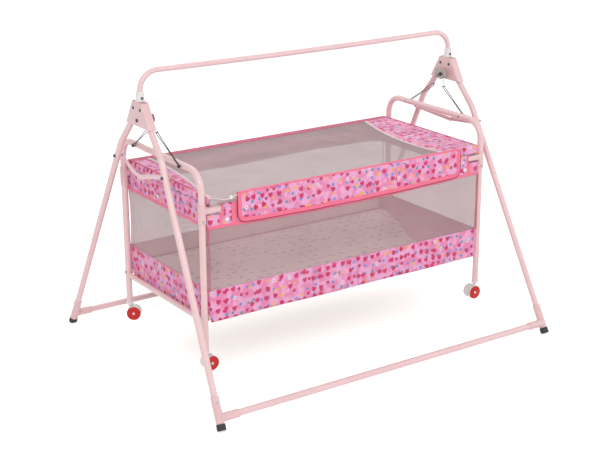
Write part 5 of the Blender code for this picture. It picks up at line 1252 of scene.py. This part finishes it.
share = np.linspace(0, 1, 40)[:, None]
top = band_foot(u) + NET_SEAM
z = (LOWER_TOP - NET_SEAM) + share * (top - LOWER_TOP + NET_SEAM)[None]
slack = NET_SLACK + 0.0022 * np.sin(2 * WAVES * u + 1.0) + 0.0014 * np.sin(6 * WAVES * u)
slack = slack + NET_BULGE * np.exp(-(((u - NET_BULGE_U) / 0.05) ** 2))
gathered = 0.4 + 0.6 * np.exp(-(((u[None] + 0.42) / 0.12) ** 2))
folds = NET_FOLD * np.sin(28 * WAVES * u[None] + 18 * share) * gathered
inset = NET_INSET + slack[None] * np.sin(np.pi * share) + np.abs(folds) * np.sin(np.pi * share)
net_walls = round_sheet("net_walls_slack", u, inset, z, WALL_NET)
fit(net_walls, "cradle", "netting", "net_walls")
pipes = []
for _, side, _, end in CORNERS:
    x, y = side * (BASKET_X - PIPE_RADIUS), end * (BASKET_Y - PIPE_RADIUS)
    line = straight((x, y, LOWER_TOP - 0.002), (x, y, PIPE_HEAD), 24)
    pipes.append(carry("corner_pipe", line, ring_section(PIPE_RADIUS, 14), (1, 0, 0), PIPING))
corner_piping = merged("corner_piping", *pipes)
fit(corner_piping, "cradle", "netting")


# Floor board and mattress
# A bare hardboard floor lies on the two floor rails. The thin mattress on it is crowned, piped
# round its seam and printed with short dashes; a fold of mauve cloth laps over its right-hand end
# and is also painted shade, darkening that end of the mattress.
BOARD_X, BOARD_Y, BOARD_MIDDLE_Z, BOARD_THICK, BOARD_EDGE = 0.4859, 0.2404, 0.2368, 0.0048, 0.0006
BOARD_WOOD, tree, shader = new_finish("bare_hardboard", srgb(176, 142, 112), 0.8)
fibre = noise(tree, on_object(tree), 320.0, 6.0, 0.7)
grain = blended(tree, ramped(tree, fibre, 0.3, 0.7), srgb(182, 148, 116), srgb(140, 104, 78))
finished(tree, shader, grain, ramped(tree, fibre, 0.3, 0.7, 0.7, 0.9), fibre, 0.3, 0.0004)
board = pressed("hardboard_floor", rounded_loop(BOARD_X, BOARD_Y, BASKET_CORNER), [], BOARD_THICK, BOARD_EDGE,
                Matrix.Translation((0, 0, BOARD_MIDDLE_Z)), BOARD_WOOD)
fit(board, "cradle", "board", "floor_board")

MATTRESS_CLOTH, tree, shader = new_finish("dashed_cotton", srgb(226, 198, 198), 0.85, Sheen_Weight=0.3)
where = on_object(tree)
dash = placed(tree, MOTIF_CELL, UV=where, Size=0.036, Seed=5.0)
pick = split(tree, dash["Random"])
long_way, short_way = (maths(tree, "ABSOLUTE", part) for part in split(tree, dash["Local"])[:2])
inside_x = ramped(tree, long_way, 0.0080, 0.0100, 1.0, 0.0)
inside_y = ramped(tree, short_way, 0.0026, 0.0042, 1.0, 0.0)
mark = maths(tree, "MULTIPLY", maths(tree, "MULTIPLY", inside_x, inside_y), chance(tree, pick[2], 0.0, 0.7))
cloud = noise(tree, where, 11.0, 3.0)
ground = blended(tree, ramped(tree, cloud, 0.3, 0.7), srgb(252, 238, 234), srgb(244, 224, 221))
dashed = blended(tree, maths(tree, "MULTIPLY", mark, 0.85), ground, srgb(132, 100, 108))
rough = ramped(tree, cloud, 0.2, 0.8, 0.78, 0.92)
finished(tree, shader, dashed, rough, weave_of(tree, where, 0.0008), 0.35, 0.0003)

PAD_X, PAD_Y, PAD_FOOT, PAD_EDGE, PAD_CROWN, PAD_SHOULDER = 0.4835, 0.2380, 0.2397, 0.014, 0.0075, 0.007
PAD_CORD_IN, PAD_CORD, PAD_LONG, PAD_WIDE = 0.001, 0.0018, 121, 61


def toward_edges(count):
    """Numbers from -1 to 1 that crowd towards both ends, as the 0.8th power does."""
    even = np.linspace(-1, 1, count)
    return np.sign(even) * np.abs(even) ** 0.8


def pad_height(gx, gy):
    """The mattress's height above its base, crowned and a little puckered.

    The crown is one less the fourth power, both ways; the puckers are products of sines.
    """
    crown = (1 - gx ** 4) * (1 - gy ** 4)
    pucker = 0.0005 * np.sin(gx * PAD_X * 210) * np.sin(gy * PAD_Y * 190)
    return PAD_EDGE + crown * (PAD_CROWN + 0.0012 * np.sin(7 * gx + 2) * np.sin(5 * gy) + pucker)


s, t = toward_edges(PAD_LONG), toward_edges(PAD_WIDE)
gx, gy = np.meshgrid(s, t, indexing="xy")
edge_gap = np.minimum((1 - np.abs(gx)) * PAD_X, (1 - np.abs(gy)) * PAD_Y)
shoulder = np.sqrt(np.clip(1 - (1 - np.clip(edge_gap / PAD_SHOULDER, 0, 1)) ** 2, 0, 1))
seam_z = PAD_FOOT + 0.5 * PAD_EDGE
top = joined(gx * PAD_X, gy * PAD_Y, seam_z + shoulder * (PAD_FOOT + pad_height(gx, gy) - seam_z))
base = joined(gx * PAD_X, gy * PAD_Y, seam_z - shoulder * (seam_z - PAD_FOOT))
top_skin = surface("pad_top", top, MATTRESS_CLOTH, angle=60)
base_skin = surface("pad_base", base[:, ::-1], MATTRESS_CLOTH, angle=60)
rim = np.concatenate((joined(s, -1.0), joined(1.0, t[1:-1]), joined(s[::-1], 1.0), joined(-1.0, t[-2:0:-1])))
rim = rim * (PAD_X - PAD_CORD_IN, PAD_Y - PAD_CORD_IN)
cord_line = np.column_stack((rim, np.full(len(rim), seam_z)))
pad_cord = carry("pad_cord", cord_line, ring_section(PAD_CORD, 12), (0, 0, 1), PIPING, closed=True)
mattress = merged("crowned_mattress", top_skin, base_skin)
weld = bmesh.new()
weld.from_mesh(mattress.data)
bmesh.ops.remove_doubles(weld, verts=weld.verts, dist=1e-5)
weld.to_mesh(mattress.data)
weld.free()
fit(mattress, "cradle", "mattress_cloth", "mattress")
fit(pad_cord, "cradle", "mattress_cloth")

LAP_FRONT, LAP_BACK, LAP_END, LAP_TURN, LAP_RISE, LAP_TOP = -0.2300, 0.1900, 0.472, 0.0145, 0.0180, 0.3000
LAP_WALL, LAP_LOOSE, LAP_FOLD = 0.4868, 0.0012, 0.0030
ys = np.linspace(LAP_FRONT, LAP_BACK, 70)
free_edge = np.interp(ys, (LAP_FRONT, -0.090, 0.130, LAP_BACK), (0.318, 0.353, 0.448, 0.470))
free_edge = free_edge + 0.004 * np.sin(23 * ys)
share, turn = np.linspace(0, 1, 26)[:, None], np.linspace(0, np.pi / 2, 9)[1:, None]
x = free_edge[None] + share * (LAP_END - free_edge)[None]
fold = LAP_FOLD * np.sin(np.pi * share) * (1 + np.sin(19 * ys))[None]
z = PAD_FOOT + pad_height(x / PAD_X, ys[None] / PAD_Y) + LAP_LOOSE + fold
up_z = z[-1:] + LAP_RISE * (1 - np.cos(turn))
x = np.concatenate((x, LAP_END + LAP_TURN * np.sin(turn) * np.ones(70), np.full((6, 70), LAP_WALL)))
z = np.concatenate((z, up_z, up_z[-1:] + np.linspace(0, 1, 7)[1:, None] * (LAP_TOP - up_z[-1:])))
# The lap is a fold of lining and also painted shade: its mauve darkens the mattress's right end, and its free
# edge runs along where that shade ends.
lining_and_shade = surface("slack_lining_and_shade", joined(x, ys, z), WRONG_SIDE, joined(ys, x + z), angle=60)
fit(lining_and_shade, "cradle", "printed_cloth")


# Net cover
# A hinged lid: net in the middle and printed cloth over both ends behind pale tapes. Rose cloth
# borders its back and ends, and carries on below the hinge as a strip that stays on the band.
LID_X, LID_FOOT, LID_EDGE, LID_ROUND, LID_SLACK = 0.488, 0.5578, 0.583, 0.006, 0.008
LEFT_TAPE, RIGHT_TAPE = (-0.398, 0.134, -0.4399), (0.496, 0.129, 0.3397)
LID_FOLDS = (
    (0.284, -0.227, 0.0060, 0.0050), (0.214, -0.264, 0.0060, 0.0044), (0.140, -0.300, 0.0080, 0.0030),
    (-0.300, 0.800, 0.0160, 0.0020),
)
DROOP, DROOP_X, DROOP_Y = 0.011, -0.432, -0.245
NET_LONG, LID_END_DEEP, LID_CLOTH, LID_LIFT = 0.79, 0.53, 0.0008, 0.0006
SKIRT_CLOTH, LEAST_WIDE = 0.025, 0.003
LID_TAPE, EDGE_TAPE, FRONT_TAPE = (0.010, 0.0018), (0.0055, 0.0016), (0.006, 0.0016)
BORDER_DEEP, BORDER_PROUD, BORDER_CLOTH = 0.034, 0.0012, 0.0004
HINGE_FOOT, HINGE_GAP, HINGE_IN = 0.5470, 0.0001, 0.0008
FLAP_LEFT, FLAP_RIGHT = -0.397, 0.410


def rounding(gap):
    """How far a corner's quarter circle lies below the level at a distance from the edge.

    It is the radius less the root of its square less the square of what is left of it.
    """
    left = LID_ROUND - np.clip(gap, 0, LID_ROUND)
    return LID_ROUND - np.sqrt(np.clip(LID_ROUND ** 2 - left ** 2, 0, None))


def lid_z(x, y):
    """Height of the lid: slack in the middle, with soft folds that run to the back corners.

    Slack falls off as one less the square, both ways. Each fold is a bell curve across a
    slanting line, and the droop at the front left is a bell curve too.
    """
    u, v = np.clip(x / LID_X, -1, 1), np.clip(y / BASKET_Y, -1, 1)
    slack = (1 - u ** 2) * (1 - v ** 2)
    fold = 0.0
    for centre, slope, width, height in LID_FOLDS:
        across = (x - centre) - slope * (y - 0.10)
        fold = fold + height * np.exp(-(across / width) ** 2) * np.exp(-(((y - 0.13) / 0.09) ** 2))
    droop = DROOP * np.exp(-(((x - DROOP_X) / 0.030) ** 2)) * np.exp(-(((y - DROOP_Y) / 0.05) ** 2))
    edges = np.maximum(rounding(LID_X - np.abs(x)), rounding(BASKET_Y - np.abs(y)))
    return LID_EDGE - LID_SLACK * slack + fold * slack ** 0.4 - edges - droop - 0.002 * np.clip(v, 0, 1) ** 4


def lid_part(name, low, high, count, finish, outer=0):
    """A part of the lid between two curves x(y); edges that lie outside get a skirt down to the band."""
    near, skirt = np.array((0.0006, 0.0018, 0.0036, 0.0060)), np.array((1.0, 0.66, 0.33))
    ys = np.unique(np.concatenate((np.linspace(-BASKET_Y, BASKET_Y, 90), near - BASKET_Y, BASKET_Y - near)))
    share = np.unique(np.concatenate((np.linspace(0, 1, count), (0.012, 0.035, 0.07, 0.93, 0.965, 0.988))))
    drop_x, drop_y = np.zeros(len(share)), np.concatenate((skirt, np.zeros(len(ys)), skirt[::-1]))
    ys = np.concatenate(([-BASKET_Y] * 3, ys, [BASKET_Y] * 3))
    if outer < 0:
        share, drop_x = np.concatenate(([0, 0, 0], share)), np.concatenate((skirt, drop_x))
    if outer > 0:
        share, drop_x = np.concatenate((share, [1, 1, 1])), np.concatenate((drop_x, skirt[::-1]))
    start = np.clip(np.polyval(low, ys), -LID_X, LID_X - LEAST_WIDE)
    stop = np.clip(np.polyval(high, ys), LEAST_WIDE - LID_X, LID_X)
    x = start[:, None] + share[None] * (stop - start)[:, None]
    y = np.repeat(ys[:, None], len(share), axis=1)
    keep = (1 - drop_x)[None] * (1 - drop_y)[:, None]
    z = LID_FOOT + (lid_z(x, y) - LID_FOOT) * keep
    uv = joined(x + outer * SKIRT_CLOTH * drop_x[None], y + np.sign(y) * SKIRT_CLOTH * drop_y[:, None])
    return surface(name, joined(x, y, z), finish, uv, angle=60)


def on_lid(xs, ys, lift):
    """A line laid on the lid, lifted off it a little."""
    return joined(xs, ys, lid_z(xs, ys) + lift)


lid_net = lid_part("lid_net_sheet", LEFT_TAPE, RIGHT_TAPE, 200, LID_NET)
fit(lid_net, "cover", "netting", "net_cover")
for side_name, low, high, side in (("left", (-LID_X,), LEFT_TAPE, -1), ("right", RIGHT_TAPE, (LID_X,), 1)):
    panel = lid_part(f"printed_lid_end_{side_name}", low, high, 30, PRINTED_CLOTH, side)
    ys = np.linspace(-BASKET_Y + 0.001, BASKET_Y - BORDER_DEEP + 0.001, 120)
    line = on_lid(np.clip(np.polyval(high if side < 0 else low, ys), -LID_X + 0.0045, LID_X), ys, LID_LIFT)
    if side < 0:
        hem = np.linspace(-LID_X + 0.008, FLAP_LEFT + 0.004, 24)
        hem = joined(hem, -BASKET_Y - 0.0004, lid_z(hem, 0.008 - BASKET_Y) - 0.003)
        line = np.concatenate((hem[::-1], line))
    tape = carry(f"lid_tape_{side_name}", along(line, 0.004), tape_section(*LID_TAPE), (0, 0, 1), TAPE)
    fit(thicken(panel, LID_CLOTH), "cover", "printed_cloth")
    fit(tape, "cover", "netting")

xs = np.linspace(-LID_X + 0.0005, LID_X - 0.0005, 220)
flat_y = np.linspace(BASKET_Y - BORDER_DEEP, BASKET_Y - LID_ROUND, 12)
flat_y = np.concatenate((flat_y, BASKET_Y - np.array((0.0036, 0.0018, 0.0006))))
rise = lid_z(xs[None], flat_y[:, None]) + LID_LIFT
down = rise[-1:] + np.linspace(0, 1, 8)[1:, None] * (LID_FOOT - rise[-1:])
y = np.concatenate((flat_y, np.full(7, BASKET_Y + BORDER_PROUD)))[:, None]
points = joined(xs[None], y, np.concatenate((rise, down)))
uv = joined(xs[None], run_along(points[:, len(xs) // 2])[:, None])
border = surface("lid_border_back", points, ROSE_EDGE, uv, angle=60)
fit(thicken(border, BORDER_CLOTH), "cover", "printed_cloth")
z = np.linspace(HINGE_FOOT, LID_FOOT - HINGE_GAP, 5)[:, None]
hinge = surface("hinge_strip", joined(xs[::-1], BASKET_Y - HINGE_IN, z), ROSE_EDGE, joined(xs[::-1], z))
fit(thicken(hinge, BORDER_CLOTH), "cradle", "printed_cloth")

line = on_lid(np.linspace(FLAP_LEFT, FLAP_RIGHT, 200), 0.0035 - BASKET_Y, 0.0004)
front_border = carry("lid_border_front", line, tape_section(*FRONT_TAPE), (0, 0, 1), BINDING)
fit(front_border, "cover", "printed_cloth")
for side_name, side, front in (("left", -1, -0.15), ("right", 1, LID_ROUND - BASKET_Y)):
    line = on_lid(side * (LID_X - 0.0045), np.linspace(front, BASKET_Y - LID_ROUND, 100), 0.0002)
    edge = carry(f"lid_edge_{side_name}", line, tape_section(*EDGE_TAPE), (0, 0, 1), ROSE_EDGE)
    fit(edge, "cover", "printed_cloth")


# Flap and snaps
# A printed flap hangs from the lid's front edge over the band, with rounded lower corners. Its
# edge is bound, and a dark rose cord round its rim is painted shade for the shadow line there;
# its head is piped, and white snaps hold the cloth at the corners.
FLAP_HEAD, FLAP_CORNER, FLAP_RISE, FLAP_OUT, FLAP_CLOTH = 0.5816, 0.024, 0.0080, 0.0034, 0.0012
FLAP_PRINT_SHIFT = (0.31, 0.17)
EDGE_IN, EDGE_OUT, EDGE_SECTION, SHADOW_LINE_OUT, SHADOW_LINE_RADIUS = 0.0062, 0.0038, (0.0120, 0.0024), 0.0008, 0.0015
PIPE_OUT, PIPE_RISE, FLAP_PIPE = 0.0026, 0.0006, 0.0021
SNAP, END_SNAP = (0.0062, 0.0032, WHITE_MOULDING, 28, 0.5), (0.0062, 0.0026, WHITE_MOULDING, 28, 0.5)
LID_SNAP = (0.0055, 0.0030, WHITE_MOULDING, 28, 0.5)
FRONT_SNAPS_X, SNAP_Z, END_SNAP_PLACE = (-0.4315, 0.4320), 0.512, (0.044, 0.515)
LID_SNAP_X, LID_SNAP_Z = -0.4195, 0.574


def flap_foot(x):
    """The flap's lower edge: it follows the band's foot, with a quarter circle at each corner."""
    inset = np.maximum(FLAP_CORNER - np.minimum(x - FLAP_LEFT, FLAP_RIGHT - x), 0.0)
    return band_foot(x) + FLAP_RISE + FLAP_CORNER - np.sqrt(np.clip(FLAP_CORNER ** 2 - inset ** 2, 0, None))


lead = FLAP_CORNER * (1 - np.cos(np.radians(np.linspace(0, 90, 12))))
xs = np.unique(np.concatenate((FLAP_LEFT + lead, FLAP_RIGHT - lead, np.linspace(FLAP_LEFT, FLAP_RIGHT, 200))))
share = np.linspace(0, 1, 24)[:, None]
z = flap_foot(xs)[None] + share * (FLAP_HEAD - flap_foot(xs))[None]
wave = 0.0007 * (1 + np.sin(38 * xs + 0.6)) + 0.0004 * (1 + np.sin(91 * xs))
y = -(BASKET_Y + FLAP_OUT) - wave[None] * (1 - share) ** 1.5
uv = joined(xs[None] + FLAP_PRINT_SHIFT[0], z + FLAP_PRINT_SHIFT[1])
flap = surface("printed_flap", joined(xs[None], y, z), PRINTED_CLOTH, uv)
edge = np.concatenate((
    joined(FLAP_LEFT, np.linspace(FLAP_HEAD, flap_foot(FLAP_LEFT), 12))[:-1],
    joined(xs, flap_foot(xs)),
    joined(FLAP_RIGHT, np.linspace(flap_foot(FLAP_RIGHT), FLAP_HEAD, 12))[1:],
))
tangent = np.gradient(edge, axis=0)
tangent /= np.linalg.norm(tangent, axis=1)[:, None]
inward = joined(-tangent[:, 1], tangent[:, 0])
height = np.clip((FLAP_HEAD - edge[:, 1]) / (FLAP_HEAD - BAND_FOOT), 0, 1)
depth = (BASKET_Y + EDGE_OUT) + np.interp(edge[:, 0], xs, wave) * height ** 1.5
inner, rim = edge + EDGE_IN * inward, edge - SHADOW_LINE_OUT * inward
line = joined(inner[:, 0], -depth, inner[:, 1])
flap_edge = carry("bound_flap_edge", line, tape_section(*EDGE_SECTION), (0, 1, 0), BINDING)
# The cord round the flap's rim is painted shade: its dark rose stands for the shadow line at the flap's edge.
line = joined(rim[:, 0], -depth, rim[:, 1])
flap_shadow_line = carry("flap_rim_shadow_line", line, ring_section(SHADOW_LINE_RADIUS, 12), (0, 1, 0), SHADOW_LINE_CORD)
line = joined(xs, -(BASKET_Y + PIPE_OUT), FLAP_HEAD + PIPE_RISE)
flap_head = carry("piped_flap_head", line, ring_section(FLAP_PIPE, 16), (0, 1, 0), BINDING)
fit(thicken(flap, FLAP_CLOTH), "cover", "printed_cloth", "cover_flap")
for piece in (flap_edge, flap_shadow_line, flap_head):
    fit(piece, "cover", "printed_cloth")

left_x, right_x = FRONT_SNAPS_X
band_snaps = [
    bolt_head("snap", (left_x, -BASKET_Y - 0.0008, SNAP_Z), (0, -1, 0), *SNAP),
    bolt_head("snap", (-BASKET_X - 0.0006, *END_SNAP_PLACE), (-1, 0, 0), *END_SNAP),
    bolt_head("snap", (right_x, -BASKET_Y - 0.0008, SNAP_Z), (0, -1, 0), *SNAP),
]
fit(merged("band_snaps", *band_snaps), "cradle", "white_plastic")
lid_snap = bolt_head("lid_snap", (LID_SNAP_X, -BASKET_Y - 0.0048, LID_SNAP_Z), (0, -1, 0), *LID_SNAP)
fit(lid_snap, "cover", "white_plastic")
